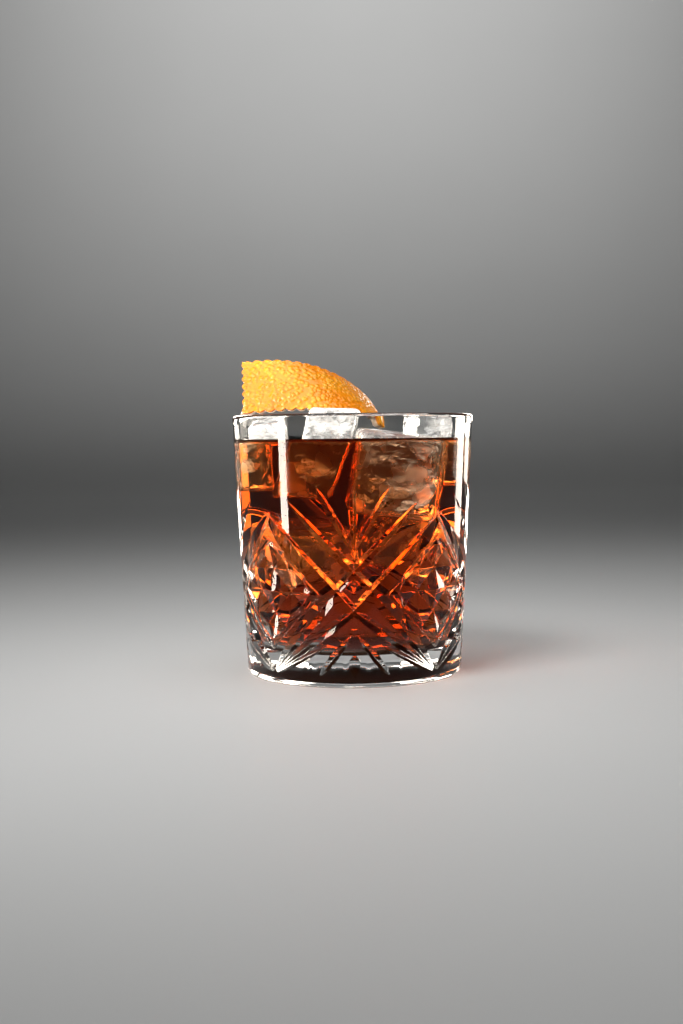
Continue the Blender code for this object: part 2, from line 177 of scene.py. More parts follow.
@dataclass
class NodeTree:
    """Short calls for wiring a shader or geometry node tree."""

    tree: bpy.types.NodeTree

    def add(self, kind: str, settings: Optional[dict] = None, **inputs: object) -> bpy.types.Node:
        """Add a node.

        Args:
            kind: the node's type name.
            settings: properties of the node itself.
            inputs: input sockets by name, with spaces as underscores; a value or a socket.

        Returns:
            The new node.
        """
        node = self.tree.nodes.new(kind)
        for key, value in (settings or {}).items():
            setattr(node, key, value)
        for key, value in inputs.items():
            self.put(node.inputs[key.replace("_", " ")], value)
        return node

    def put(self, socket: bpy.types.NodeSocket, value: object) -> None:
        """Link a socket to another, or set its plain value.

        Args:
            socket: the input socket.
            value: an output socket, a number, a vector or a colour.
        """
        if isinstance(value, bpy.types.NodeSocket):
            self.tree.links.new(value, socket)
        elif isinstance(value, tuple) and len(value) == 3 and socket.type == "RGBA":
            socket.default_value = (*value, 1.0)
        else:
            socket.default_value = value

    def math(self, operation: str, a: object, b: object) -> bpy.types.NodeSocket:
        """Add a Math node.

        Args:
            operation: the node's operation, such as MULTIPLY.
            a: first number or socket.
            b: second number or socket.

        Returns:
            The result's socket.
        """
        node = self.add("ShaderNodeMath", {"operation": operation})
        self.put(node.inputs[0], a)
        self.put(node.inputs[1], b)
        return node.outputs[0]

    def mix(self, factor: object, a: object, b: object) -> bpy.types.NodeSocket:
        """Mix two colours.

        Args:
            factor: share of the second colour.
            a: first colour or socket.
            b: second colour or socket.

        Returns:
            The result's socket.
        """
        node = self.add("ShaderNodeMix", {"data_type": "RGBA"})
        self.put(node.inputs["Factor"], factor)
        self.put(node.inputs[6], a)
        self.put(node.inputs[7], b)
        return node.outputs[2]

    def band(self, value: object, low: float, high: float, start: float = 0.0,
             end: float = 1.0) -> bpy.types.NodeSocket:
        """Ease a value from one range to another, held at both ends.

        Args:
            value: the value's socket.
            low: value that gives start.
            high: value that gives end.
            start: result at and below low.
            end: result at and above high.

        Returns:
            The result's socket.
        """
        node = self.add("ShaderNodeMapRange", {"interpolation_type": "SMOOTHSTEP"})
        for slot, number in zip(range(5), (value, low, high, start, end)):
            self.put(node.inputs[slot], number)
        return node.outputs[0]

    def noise(self, vector: object, scale: float, detail: float = 2.0,
              rough: float = 0.5) -> bpy.types.NodeSocket:
        """Add a noise texture.

        Args:
            vector: socket with the place on the piece.
            scale: swells per metre.
            detail: number of finer layers.
            rough: strength of the finer layers.

        Returns:
            Socket of its 0 to 1 factor.
        """
        node = self.add("ShaderNodeTexNoise", Vector=vector, Scale=scale, Detail=detail,
                        Roughness=rough)
        return node.outputs["Fac"]


def new_material(name: str) -> tuple[bpy.types.Material, NodeTree, bpy.types.Node]:
    """Make a node material.

    Args:
        name: the material's name.

    Returns:
        The material, its node tree and its Principled shader.
    """
    mat = bpy.data.materials.new(name)
    mat.use_nodes = True
    tree = NodeTree(mat.node_tree)
    return mat, tree, mat.node_tree.nodes["Principled BSDF"]


def waviness_group() -> bpy.types.NodeTree:
    """Shader group that gives the faint roll of a surface that was once soft or has melted.

    Returns:
        A node group with inputs Vector, Scale and Depth, and outputs Height and Mask.
    """
    found = bpy.data.node_groups.get("surface_roll")
    if found:
        return found
    group = bpy.data.node_groups.new("surface_roll", "ShaderNodeTree")
    face = group.interface
    face.new_socket("Vector", in_out="INPUT", socket_type="NodeSocketVector")
    face.new_socket("Scale", in_out="INPUT", socket_type="NodeSocketFloat")
    face.new_socket("Depth", in_out="INPUT", socket_type="NodeSocketFloat")
    face.new_socket("Height", in_out="OUTPUT", socket_type="NodeSocketFloat")
    face.new_socket("Mask", in_out="OUTPUT", socket_type="NodeSocketFloat")
    tree = NodeTree(group)
    inner = tree.add("NodeGroupInput")
    outer = tree.add("NodeGroupOutput")
    broad = tree.add("ShaderNodeTexNoise", Vector=inner.outputs[0], Scale=inner.outputs[1],
                     Detail=1.5)
    fine = tree.add("ShaderNodeTexNoise", Vector=inner.outputs[0], Detail=3.0,
                    Scale=tree.math("MULTIPLY", inner.outputs[1], 5.0))
    height = tree.math("ADD", tree.math("MULTIPLY", broad.outputs["Fac"], 0.85),
                       tree.math("MULTIPLY", fine.outputs["Fac"], 0.15))
    tree.put(outer.inputs[0], tree.math("MULTIPLY", height, inner.outputs[2]))
    tree.put(outer.inputs[1], tree.band(broad.outputs["Fac"], 0.45, 0.68))
    return group


def object_coords(tree: NodeTree) -> bpy.types.NodeSocket:
    """Object coordinates of the piece, in metres."""
    return tree.add("ShaderNodeTexCoord").outputs["Object"]


def roll(tree: NodeTree, vector: object, scale: float, depth: float) -> bpy.types.Node:
    """Place the surface roll group with its own scale and depth.

    Args:
        tree: the material's node tree.
        vector: socket with the place on the piece.
        scale: swells per metre.
        depth: strength of the swells.

    Returns:
        The group node.
    """
    node = tree.add("ShaderNodeGroup", {"node_tree": waviness_group()})
    tree.put(node.inputs["Vector"], vector)
    tree.put(node.inputs["Scale"], scale)
    tree.put(node.inputs["Depth"], depth)
    return node


def let_light_through(tree: NodeTree, shader: bpy.types.Node, share: float) -> None:
    """Let a share of the lamps' light shine straight through a clear piece.

    Args:
        tree: the material's node tree.
        shader: its Principled shader.
        share: part of the light that passes.
    """
    path = tree.add("ShaderNodeLightPath")
    clear = tree.add("ShaderNodeBsdfTransparent", Color=(share, share, share))
    both = tree.add("ShaderNodeMixShader")
    tree.put(both.inputs[0], path.outputs["Is Shadow Ray"])
    tree.put(both.inputs[1], shader.outputs["BSDF"])
    tree.put(both.inputs[2], clear.outputs["BSDF"])
    tree.put(tree.tree.nodes["Material Output"].inputs["Surface"], both.outputs["Shader"])


# ---------------------------------------------------------------- finishes

DRY_MIRROR = (0.28, 0.28, 0.28)
WETTED_MIRROR = (0.06, 0.06, 0.06)


@dataclass(frozen=True)
class GlassFinish:
    """Clear fire-polished glass with a faint roll in its skin."""

    ior: float = 1.5
    tint: Colour = (0.985, 0.992, 0.99)
    roll_scale: float = 60.0
    roll_depth: float = 0.35
    lamp_share: float = 0.85

    def material(self, wetted: bool) -> bpy.types.Material:
        """Build the material.

        Args:
            wetted: for the side that touches the drink, which mirrors far less than a dry one.

        Returns:
            The material.
        """
        mat, tree, shader = new_material("wetted_glass" if wetted else "clear_glass")
        tree.put(shader.inputs["Specular Tint"], WETTED_MIRROR if wetted else DRY_MIRROR)
        tree.put(shader.inputs["Base Color"], self.tint)
        tree.put(shader.inputs["IOR"], self.ior)
        tree.put(shader.inputs["Transmission Weight"], 1.0)
        let_light_through(tree, shader, self.lamp_share)
        place = object_coords(tree)
        skin = roll(tree, place, self.roll_scale, self.roll_depth)
        tree.put(shader.inputs["Roughness"], tree.math("MULTIPLY", skin.outputs["Mask"], 0.012))
        bump = tree.add("ShaderNodeBump", Strength=0.02, Distance=0.0004,
                        Height=skin.outputs["Height"])
        tree.put(shader.inputs["Normal"], bump.outputs["Normal"])
        return mat


@dataclass(frozen=True)
class DrinkFinish:
    """Clear red-orange drink that darkens with depth."""

    ior: float = 1.355
    pass_colour: Colour = (0.85, 0.50, 0.06)
    density: float = 112.0
    lamp_share: float = 0.43

    def material(self, wetted: bool) -> bpy.types.Material:
        """Build the material.

        Args:
            wetted: for the sides that touch glass or ice, which mirror far less than the top.

        Returns:
            The material.
        """
        mat, tree, shader = new_material("negroni_body" if wetted else "negroni_surface")
        if wetted:
            tree.put(shader.inputs["Specular Tint"], WETTED_MIRROR)
        tree.put(shader.inputs["Base Color"], (1.0, 0.985, 0.97))
        tree.put(shader.inputs["IOR"], self.ior)
        tree.put(shader.inputs["Transmission Weight"], 1.0)
        let_light_through(tree, shader, self.lamp_share)
        place = object_coords(tree)
        skin = roll(tree, place, 90.0, 0.5)
        tree.put(shader.inputs["Roughness"], tree.math("MULTIPLY", skin.outputs["Mask"], 0.01))
        bump = tree.add("ShaderNodeBump", Strength=0.015, Distance=0.0004,
                        Height=skin.outputs["Height"])
        tree.put(shader.inputs["Normal"], bump.outputs["Normal"])
        volume = tree.add("ShaderNodeVolumeAbsorption")
        tree.put(volume.inputs["Color"], self.pass_colour)
        tree.put(volume.inputs["Density"], self.density)
        output = tree.tree.nodes["Material Output"]
        tree.put(output.inputs["Volume"], volume.outputs["Volume"])
        return mat


@dataclass(frozen=True)
class IceFinish:
    """Wet ice: clear skin with melt dimples and frosted patches, milkier where it is dry."""

    ior: float = 1.31
    frost: float = 0.30
    dry_frost: float = 0.40
    clear: float = 0.97
    dry_clear: float = 0.90
    lamp_share: float = 0.78

    def material(self, wetted: bool) -> bpy.types.Material:
        """Build the material.

        Args:
            wetted: for the sides under the drink, which mirror far less than those in the air.

        Returns:
            The material.
        """
        mat, tree, shader = new_material("sunk_ice" if wetted else "wet_ice")
        if wetted:
            tree.put(shader.inputs["Specular Tint"], WETTED_MIRROR)
        tree.put(shader.inputs["Base Color"], (0.96, 0.975, 0.98))
        tree.put(shader.inputs["IOR"], self.ior)
        tree.put(shader.inputs["Transmission Weight"], self.clear if wetted else self.dry_clear)
        let_light_through(tree, shader, self.lamp_share)
        place = object_coords(tree)
        skin = roll(tree, place, 140.0, 0.8)
        rough = tree.band(skin.outputs["Mask"], 0.2, 0.9, 0.02 if wetted else 0.10,
                          self.frost if wetted else self.dry_frost)
        tree.put(shader.inputs["Roughness"], rough)
        cracks = tree.add("ShaderNodeTexVoronoi", {"feature": "DISTANCE_TO_EDGE"},
                          Vector=place, Scale=170.0)
        crack = tree.band(cracks.outputs["Distance"], 0.0, 0.06, 0.5, 0.0)
        height = tree.math("SUBTRACT", skin.outputs["Height"], crack)
        bump = tree.add("ShaderNodeBump", Strength=0.12, Distance=0.0005, Height=height)
        tree.put(shader.inputs["Normal"], bump.outputs["Normal"])
        return mat


@dataclass(frozen=True)
class CloudFinish:
    """Wisps of trapped air or frost; reach is the noise from which to where they thicken."""

    name: str = "ice_cloud"
    density: float = 1.0
    scale: float = 120.0
    reach: Point = (0.52, 0.63)
    slant: tuple[float, float, float] = (0.0, 0.6, 0.0)
    stretch: tuple[float, float, float] = (0.6, 1.0, 1.5)

    def material(self) -> bpy.types.Material:
        """Build the material.

        Returns:
            The material.
        """
        mat, tree, shader = new_material(self.name)
        tree.put(shader.inputs["Base Color"], (0.93, 0.93, 0.92))
        tree.put(shader.inputs["Roughness"], 0.6)
        place = tree.add("ShaderNodeMapping", Vector=object_coords(tree),
                         Rotation=self.slant, Scale=self.stretch).outputs["Vector"]
        wide = tree.noise(place, self.scale, 5.0, 0.68)
        fine = tree.noise(place, self.scale * 4.2, 3.0, 0.6)
        veil = tree.math("MULTIPLY", tree.band(wide, *self.reach), tree.band(fine, 0.3, 0.7))
        tree.put(shader.inputs["Alpha"], tree.math("MULTIPLY", veil, self.density))
        bump = tree.add("ShaderNodeBump", Strength=0.6, Distance=0.0006, Height=wide)
        tree.put(shader.inputs["Normal"], bump.outputs["Normal"])
        return mat


@dataclass(frozen=True)
class BubbleFinish:
    """Fine bubbles and droplets: bright specks of clear liquid or air."""

    def material(self) -> bpy.types.Material:
        """Build the material.

        Returns:
            The material.
        """
        mat, tree, shader = new_material("bubbles")
        tree.put(shader.inputs["Base Color"], (1.0, 0.985, 0.96))
        tree.put(shader.inputs["IOR"], 1.33)
        tree.put(shader.inputs["Transmission Weight"], 0.75)
        place = object_coords(tree)
        fleck = tree.noise(place, 900.0, 1.0)
        tree.put(shader.inputs["Roughness"], tree.band(fleck, 0.3, 0.7, 0.02, 0.12))
        return mat


@dataclass(frozen=True)
class PeelFinish:
    """Orange skin with oil glands over a pale, faintly pink pith."""

    zest: Colour = (0.82, 0.230, 0.001)
    zest_light: Colour = (0.84, 0.285, 0.002)
    zest_deep: Colour = (0.78, 0.165, 0.001)
    gland: Colour = (0.88, 0.48, 0.04)
    pith: Colour = (0.80, 0.60, 0.47)
    pith_light: Colour = (0.92, 0.80, 0.66)

    def material(self) -> bpy.types.Material:
        """Build the material.

        Returns:
            The material.
        """
        mat, tree, shader = new_material("orange_peel")
        place = object_coords(tree)
        layer = tree.add("ShaderNodeAttribute", {"attribute_name": "peel_layer"})
        skin = tree.math("SUBTRACT", 1.0, tree.band(layer.outputs["Fac"], 0.30, 0.55))
        blotch = tree.noise(place, 55.0, 3.0)
        colour = tree.mix(tree.band(blotch, 0.35, 0.68), self.zest, self.zest_light)
        deep = tree.noise(place, 95.0, 2.0)
        colour = tree.mix(tree.band(deep, 0.55, 0.75, 0.0, 0.6), colour, self.zest_deep)
        warp = tree.add("ShaderNodeTexNoise", Vector=place, Scale=300.0, Detail=2.0)
        shift = tree.add("ShaderNodeVectorMath", {"operation": "SCALE"}, Scale=0.0011)
        tree.put(shift.inputs[0], warp.outputs["Color"])
        moved = tree.add("ShaderNodeVectorMath", {"operation": "ADD"})
        tree.put(moved.inputs[0], place)
        tree.put(moved.inputs[1], shift.outputs[0])
        glands = tree.add("ShaderNodeTexVoronoi", {"feature": "SMOOTH_F1"},
                          Vector=moved.outputs[0], Scale=560.0, Smoothness=0.35)
        swell = tree.band(glands.outputs["Distance"], 0.75, 0.10)
        fleck = tree.math("MULTIPLY", swell, tree.band(blotch, 0.40, 0.60, 0.1, 0.55))
        colour = tree.mix(fleck, colour, self.gland)
        fibre = tree.noise(place, 700.0, 5.0, 0.7)
        fine = tree.noise(place, 1500.0, 2.0, 0.6)
        pith = tree.mix(tree.band(fibre, 0.35, 0.7), self.pith, self.pith_light)
        tree.put(shader.inputs["Base Color"], tree.mix(skin, pith, colour))
        tree.put(shader.inputs["Roughness"], tree.band(skin, 0.0, 1.0, 0.7, 0.24))
        shader.inputs["Specular IOR Level"].default_value = 0.4
        shader.inputs["Subsurface Weight"].default_value = 0.08
        shader.inputs["Subsurface Radius"].default_value = (0.0030, 0.0012, 0.0003)
        shader.inputs["Subsurface Scale"].default_value = 1.0
        rind = tree.math("ADD", tree.math("MULTIPLY", swell, 0.85),
                         tree.math("MULTIPLY", fine, 0.15))
        grain = tree.math("ADD", tree.math("MULTIPLY", rind, skin),
                          tree.math("MULTIPLY", fibre, tree.math("SUBTRACT", 1.0, skin)))
        bump = tree.add("ShaderNodeBump", Strength=0.6, Distance=0.0006, Height=grain)
        tree.put(shader.inputs["Normal"], bump.outputs["Normal"])
        return mat


@dataclass(frozen=True)
class FloorFinish:
    """Pale matt tabletop with a trace of grain."""

    colour: Colour = (0.62, 0.62, 0.61)

    def material(self) -> bpy.types.Material:
        """Build the material.

        Returns:
            The material.
        """
        mat, tree, shader = new_material("pale_floor")
        place = object_coords(tree)
        grain = tree.noise(place, 6.0, 4.0)
        tree.put(shader.inputs["Base Color"],
                 tree.mix(grain, self.colour, tuple(min(1.0, c * 1.05) for c in self.colour)))
        tree.put(shader.inputs["Roughness"], 0.55)
        return mat


# ---------------------------------------------------------------- the cut pattern

@dataclass(frozen=True)
class Groove:
    """One V-shaped cut in the unrolled wall.

    Places along it run from 0 at the start to 1 at the end; depths are in millimetres, and a
    spread is half the groove's width over its depth, on the left and on the right of its run.
    """

    start: Point
    end: Point
    depths: tuple[Point, ...]
    left: float
    right: float

    def mirrored(self, about: float) -> "Groove":
        """The groove mirrored in the upright line at an angle."""
        return Groove((2 * about - self.start[0], self.start[1]),
                      (2 * about - self.end[0], self.end[1]), self.depths, self.right, self.left)

    def key(self) -> tuple:
        """A name for the groove that doesn't depend on its direction."""
        return tuple(sorted((round(a, 3), round(z, 3)) for a, z in (self.start, self.end)))

    def planes(self, scale: float) -> list[Plane]:
        """Planes (a, b, c) whose least value a * x + b * z + c is the groove's depth.

        Args:
            scale: millimetres of unrolled wall per degree.

        Returns:
            Two planes, left and right, for each stretch between depths.
        """
        a = Vector((self.start[0] * scale, self.start[1]))
        b = Vector((self.end[0] * scale, self.end[1]))
        length = (b - a).length
        along = (b - a) / length
        side = Vector((-along.y, along.x))
        planes = []
        for (p0, d0), (p1, d1) in zip(self.depths, self.depths[1:]):
            slope = (d1 - d0) / ((p1 - p0) * length)
            for sign, spread in ((1.0, self.left), (-1.0, self.right)):
                grad = along * slope - side * sign / spread
                planes.append((grad.x, grad.y, d0 - slope * p0 * length - grad.dot(a)))
        return planes


def rises(depth: float, *steps: Point) -> tuple[Point, ...]:
    """Depths along a groove from its greatest depth and its (place, share) steps."""
    return tuple((place, depth * share) for place, share in steps)


LENS = ((0.0, 0.0), (0.3, 0.8), (0.6, 1.0), (0.85, 0.75), (1.0, 0.0))


@dataclass
class CutPattern:
    """Stars and hobnail fields, four of each round the tumbler, as creases in the flat wall."""

    unroll_r: float = 40.0
    low: float = 3.2
    high: float = 70.0
    field_angle: float = 45.0
    field_z: float = 31.4
    cell: Point = (11.45, 7.45)
    hobnail_depth: float = 1.75
    hobnail_spread: float = 3.35
    hobnail_reach: Point = (1.06, 1.30)
    border: Point = (2.33, 2.53)
    border_depth: float = 0.62
    border_spread: Point = (3.1, 0.9)
    rounding: float = 0.16

    @property
    def scale(self) -> float:
        """Millimetres of unrolled wall per degree."""
        return math.radians(1.0) * self.unroll_r

    @property
    def wide(self) -> float:
        """Width in millimetres of half a repeat."""
        return self.field_angle * self.scale

    def star(self) -> list[Groove]:
        """The grooves of one star.

        Returns:
            Its grooves on one side, with their ends as (degrees, millimetres).
        """
        return [
            Groove((-46.8, 57.8), (1.5, 24.6),
                   rises(1.8, (0.0, 0.0), (0.06, 0.45), (0.25, 0.9), (0.78, 1.0), (0.96, 0.75),
                         (1.0, 0.0)), 1.15, 2.2),
            Groove((-33.0, 62.2), (10.6, 31.0),
                   rises(1.15, (0.0, 0.0), (0.25, 0.75), (0.6, 1.0), (0.94, 1.0), (1.0, 0.0)),
                   1.35, 1.35),
            Groove((8.2, 32.7), (44.6, 4.6),
                   rises(1.5, (0.0, 0.0), (0.06, 0.9), (0.3, 1.0), (0.8, 0.62), (1.0, 0.0)),
                   1.8, 1.9),
            Groove((-1.8, 26.5), (44.4, 4.2),
                   rises(1.25, (0.0, 0.0), (0.06, 0.8), (0.35, 1.0), (0.8, 0.7), (1.0, 0.0)),
                   1.3, 1.6),
            Groove((0.0, 44.6), (17.4, 66.4), rises(0.95, *LENS), 1.4, 1.4),
            Groove((0.0, 44.2), (0.0, 67.2), rises(0.7, *LENS), 1.5, 1.5),
            Groove((0.6, 18.2), (17.8, 3.9), rises(1.0, *LENS), 1.5, 1.3),
            Groove((13.5, 14.0), (43.6, 4.0), rises(0.85, *LENS), 1.4, 1.4),
            Groove((0.0, 11.4), (0.0, 3.5),
                   rises(1.15, (0.0, 0.0), (0.28, 1.0), (0.62, 0.9), (1.0, 0.0)), 1.75, 1.75),
        ]

    def spot(self, u: float, v: float) -> Point:
        """A place in the field from its two slanting coordinates, counted in half hobnails."""
        half_a, half_z = self.cell
        return (self.field_angle + (u - v) / 2 * half_a, self.field_z + (u + v) / 2 * half_z)

    def borders(self) -> list[Groove]:
        """The thin grooves that bound the hobnails.

        Returns:
            The grooves on the side of the field by the star.
        """
        high, low = self.border
        steep, gentle = self.border_spread[::-1]
        steps = ((0.0, 0.0), (0.05, 1.0), (0.95, 1.0), (1.0, 0.0))
        return [
            Groove(self.spot(high + 0.1, high), self.spot(-low - 0.1, high),
                   rises(self.border_depth, *steps), gentle, steep),
            Groove(self.spot(-low, high + 0.1), self.spot(-low, -low - 0.1),
                   rises(self.border_depth, *steps), gentle, steep),
        ]

    def hobnails(self) -> list[Groove]:
        """The crossing grooves of one field.

        Returns:
            The grooves that run down to the right; the mirror line gives the others.
        """
        half_a, half_z = self.cell
        inner, outer = self.hobnail_reach
        share = inner / outer / 2
        steps = ((0.0, 0.0), (0.5 - share, 1.0), (0.5 + share, 1.0), (1.0, 0.0))
        found = []
        for side in (-1, 1):
            mid_a = self.field_angle + side * half_a / 2
            mid_z = self.field_z + side * half_z / 2
            found.append(Groove((mid_a - outer * half_a, mid_z + outer * half_z),
                                (mid_a + outer * half_a, mid_z - outer * half_z),
                                rises(self.hobnail_depth, *steps), self.hobnail_spread,
                                self.hobnail_spread))
        return found

    def half_repeat(self) -> list[Groove]:
        """All grooves between a star's middle and its field's middle.

        Returns:
            The grooves and their mirror images, each once.
        """
        found: dict[tuple, Groove] = {}
        for groove in self.star() + self.borders() + self.hobnails():
            for first in (groove, groove.mirrored(0.0)):
                for second in (first, first.mirrored(self.field_angle)):
                    angles = sorted((second.start[0], second.end[0]))
                    if angles[1] > -3.5 and angles[0] < self.field_angle + 3.5:
                        found.setdefault(second.key(), second)
        return list(found.values())


def value(plane: Plane, point: Sequence[float]) -> float:
    """Height of a plane over a point."""
    return plane[0] * point[0] + plane[1] * point[1] + plane[2]


def minus(p: Plane, q: Plane) -> Plane:
    """Difference of two planes."""
    return (p[0] - q[0], p[1] - q[1], p[2] - q[2])


def clip(polygon: list[Point], plane: Plane) -> list[Point]:
    """Cut a convex polygon by a plane.

    Args:
        polygon: the polygon's points in order.
        plane: the plane.

    Returns:
        The points of the part where the plane isn't negative.
    """
    kept = []
    for i, here in enumerate(polygon):
        there = polygon[(i + 1) % len(polygon)]
        h, t = value(plane, here), value(plane, there)
        if h >= 0:
            kept.append(here)
        if (h > 0 > t) or (h < 0 < t):
            f = h / (h - t)
            kept.append((here[0] + (there[0] - here[0]) * f, here[1] + (there[1] - here[1]) * f))
    return kept


def narrowed(limits: Sequence[Point]) -> Optional[Point]:
    """Find the stretch of a line on which several values stay positive.

    Args:
        limits: each value at the start and at the end of the line.

    Returns:
        Start and end as shares of the line, or nothing.
    """
    low, high = 0.0, 1.0
    for at_a, at_b in limits:
        if at_a <= 0 and at_b <= 0:
            return None
        if at_a < 0 < at_b:
            low = max(low, at_a / (at_a - at_b))
        elif at_b < 0 < at_a:
            high = min(high, at_a / (at_a - at_b))
    return (low, high) if high - low > 1e-6 else None


@dataclass
class CreaseMap:
    """Works out where the facets of many crossing grooves meet, and meshes them in the flat."""

    pattern: CutPattern
    planes: list[list[Plane]] = field(init=False)
    facets: list[tuple[int, Facet]] = field(init=False)

    def __post_init__(self) -> None:
        """Find each groove's own facets."""
        p = self.pattern
        box = [(-9.0, p.low), (p.wide + 9.0, p.low), (p.wide + 9.0, p.high), (-9.0, p.high)]
        self.planes = [groove.planes(p.scale) for groove in p.half_repeat()]
        self.facets = []
        for k, planes in enumerate(self.planes):
            for i, plane in enumerate(planes):
                outline = clip(box, plane)
                for j, other in enumerate(planes):
                    if j != i and outline:
                        outline = clip(outline, minus(other, plane))
                if len(outline) > 2:
                    self.facets.append((k, (plane, outline)))

    def inside(self, a: Point, b: Point, outline: list[Point], plane: Plane) -> Optional[Point]:
        """The stretch of a line inside an outline and where a plane is positive.

        Args:
            a: start of the line.
            b: end of the line.
            outline: a convex polygon.
            plane: a plane over the flat wall.

        Returns:
            Start and end as shares of the line, or nothing.
        """
        count = len(outline)
        middle = (sum(p[0] for p in outline) / count, sum(p[1] for p in outline) / count)
        limits = []
        for i in range(count):
            p, q = outline[i], outline[(i + 1) % count]
            edge = (p[1] - q[1], q[0] - p[0], p[0] * q[1] - q[0] * p[1])
            sign = 1.0 if value(edge, middle) > 0 else -1.0
            limits.append((sign * value(edge, a), sign * value(edge, b)))
        limits.append((value(plane, a), value(plane, b)))
        return narrowed(limits)

    def visible(self, a: Point, b: Point, plane: Plane, skip: tuple[int, ...]
                ) -> Iterator[Segment]:
        """The stretches of a crease that no deeper groove cuts away.

        Args:
            a: start of the crease.
            b: end of the crease.
            plane: the plane that the crease lies in.
            skip: numbers of the grooves that make the crease.

        Yields:
            The stretches that stay.
        """
        spans = [(0.0, 1.0)]
        for k, (other, outline) in self.facets:
            if k in skip:
                continue
            rise = minus(other, plane)
            hidden = self.inside(a, b, outline, (rise[0], rise[1], rise[2] - 2e-4))
            if hidden:
                left = [(s, min(e, hidden[0])) for s, e in spans if s < hidden[0]]
                spans = left + [(max(s, hidden[1]), e) for s, e in spans if e > hidden[1]]
        length = math.dist(a, b)
        for s, e in spans:
            if (e - s) * length > 2e-3:
                yield tuple((a[0] + (b[0] - a[0]) * f, a[1] + (b[1] - a[1]) * f)
                            for f in (s, e))

    def meeting(self, one: Facet, two: Facet) -> Optional[list[Point]]:
        """Find the line along which two facets meet.

        Args:
            one: first facet.
            two: second facet.

        Returns:
            The line's two ends, or nothing.
        """
        a, b, c = minus(one[0], two[0])
        size = math.hypot(a, b)
        if size < 1e-9:
            return None
        foot = (-a * c / size ** 2, -b * c / size ** 2)
        step = (-b / size * 200.0, a / size * 200.0)
        ends = [(foot[0] - step[0], foot[1] - step[1]), (foot[0] + step[0], foot[1] + step[1])]
        for outline in (one[1], two[1]):
            span = self.inside(ends[0], ends[1], outline, (0.0, 0.0, 1.0))
            if not span:
                return None
            ends = [tuple(ends[0][i] + (ends[1][i] - ends[0][i]) * f for i in (0, 1))
                    for f in span]
        return ends

    def creases(self) -> list[Segment]:
        """Find every crease.

        Returns:
            Edges of facets and lines where grooves meet.
        """
        lines: list[Segment] = []
        for i, (k, one) in enumerate(self.facets):
            plane, outline = one
            for j, here in enumerate(outline):
                there = outline[(j + 1) % len(outline)]
                lines += self.visible(here, there, plane, (k,))
            for n, two in self.facets[i + 1:]:
                if n == k:
                    continue
                ends = self.meeting(one, two)
                if ends:
                    lines += self.visible(ends[0], ends[1], plane, (k, n))
        return lines

    def trimmed(self, line: Segment) -> Optional[Segment]:
        """Keep a line between the two mirror lines.

        Args:
            line: the line.

        Returns:
            What is left of it, or nothing if it lies outside.
        """
        (ax, az), (bx, bz) = line
        wide = self.pattern.wide
        span = narrowed([(ax + 1e-9, bx + 1e-9), (wide - ax + 1e-9, wide - bx + 1e-9)])
        if not span:
            return None
        return tuple((ax + (bx - ax) * f, az + (bz - az) * f) for f in span)

    def depth(self, points: np.ndarray) -> tuple[np.ndarray, np.ndarray]:
        """Depth and its slope at many points, with creases rounded over a small disc.

        Args:
            points: N by 2 array of places in the flat wall.

        Returns:
            N depths and N by 2 slopes.
        """
        reach = self.pattern.rounding
        offsets = [(0.0, 0.0)]
        for ring, count in ((0.5, 6), (0.98, 12)):
            for i in range(count):
                turn = 2 * math.pi * (i + 0.5 * (count == 12)) / count
                offsets.append((ring * reach * math.cos(turn), ring * reach * math.sin(turn)))
        total = np.zeros(len(points))
        slope = np.zeros((len(points), 2))
        for offset in offsets:
            best = np.zeros(len(points))
            grad = np.zeros((len(points), 2))
            moved = points + np.array(offset)
            for planes in self.planes:
                table = np.array(planes)
                heights = moved @ table[:, :2].T + table[:, 2]
                least = heights.argmin(axis=1)
                depth = heights[np.arange(len(points)), least]
                deeper = depth > best
                best[deeper] = depth[deeper]
                grad[deeper] = table[least[deeper], :2]
            total += best
            slope += grad
        return total / len(offsets), slope / len(offsets)

    def mesh(self, columns: int) -> tuple[np.ndarray, np.ndarray, np.ndarray, list]:
        """Mesh half a repeat in the flat.

        Args:
            columns: strips that follow the wall's curve.

        Returns:
            Places, depths, slopes and triangles.
        """
        p = self.pattern
        lines = self.creases()
        reach = p.rounding
        for (ax, az), (bx, bz) in list(lines):
            length = math.hypot(bx - ax, bz - az)
            if length < 0.12:
                continue
            nx, nz = -(bz - az) / length * reach, (bx - ax) / length * reach
            lines.append(((ax + nx, az + nz), (bx + nx, bz + nz)))
            lines.append(((ax - nx, az - nz), (bx - nx, bz - nz)))
        for k in range(columns + 1):
            x = p.wide * k / columns
            lines.append(((x, p.low), (x, p.high)))
            if k < columns:
                for z in (p.low, p.high):
                    lines.append(((x, z), (p.wide * (k + 1) / columns, z)))
        kept = [line for line in map(self.trimmed, lines) if line]
        points = [Vector(end) for line in kept for end in line]
        edges = [(2 * i, 2 * i + 1) for i in range(len(kept))]
        verts, _, faces, _, _, _ = delaunay_2d_cdt(points, edges, [], 1, 8e-3)
        flat = np.array([(min(max(v.x, 0.0), p.wide), v.y) for v in verts])
        depths, slopes = self.depth(flat)
        on_seam = (flat[:, 0] < 1e-4) | (flat[:, 0] > p.wide - 1e-4)
        slopes[on_seam, 0] = 0.0
        return flat, depths, slopes, [tuple(f) for f in faces]


# ---------------------------------------------------------------- tumbler

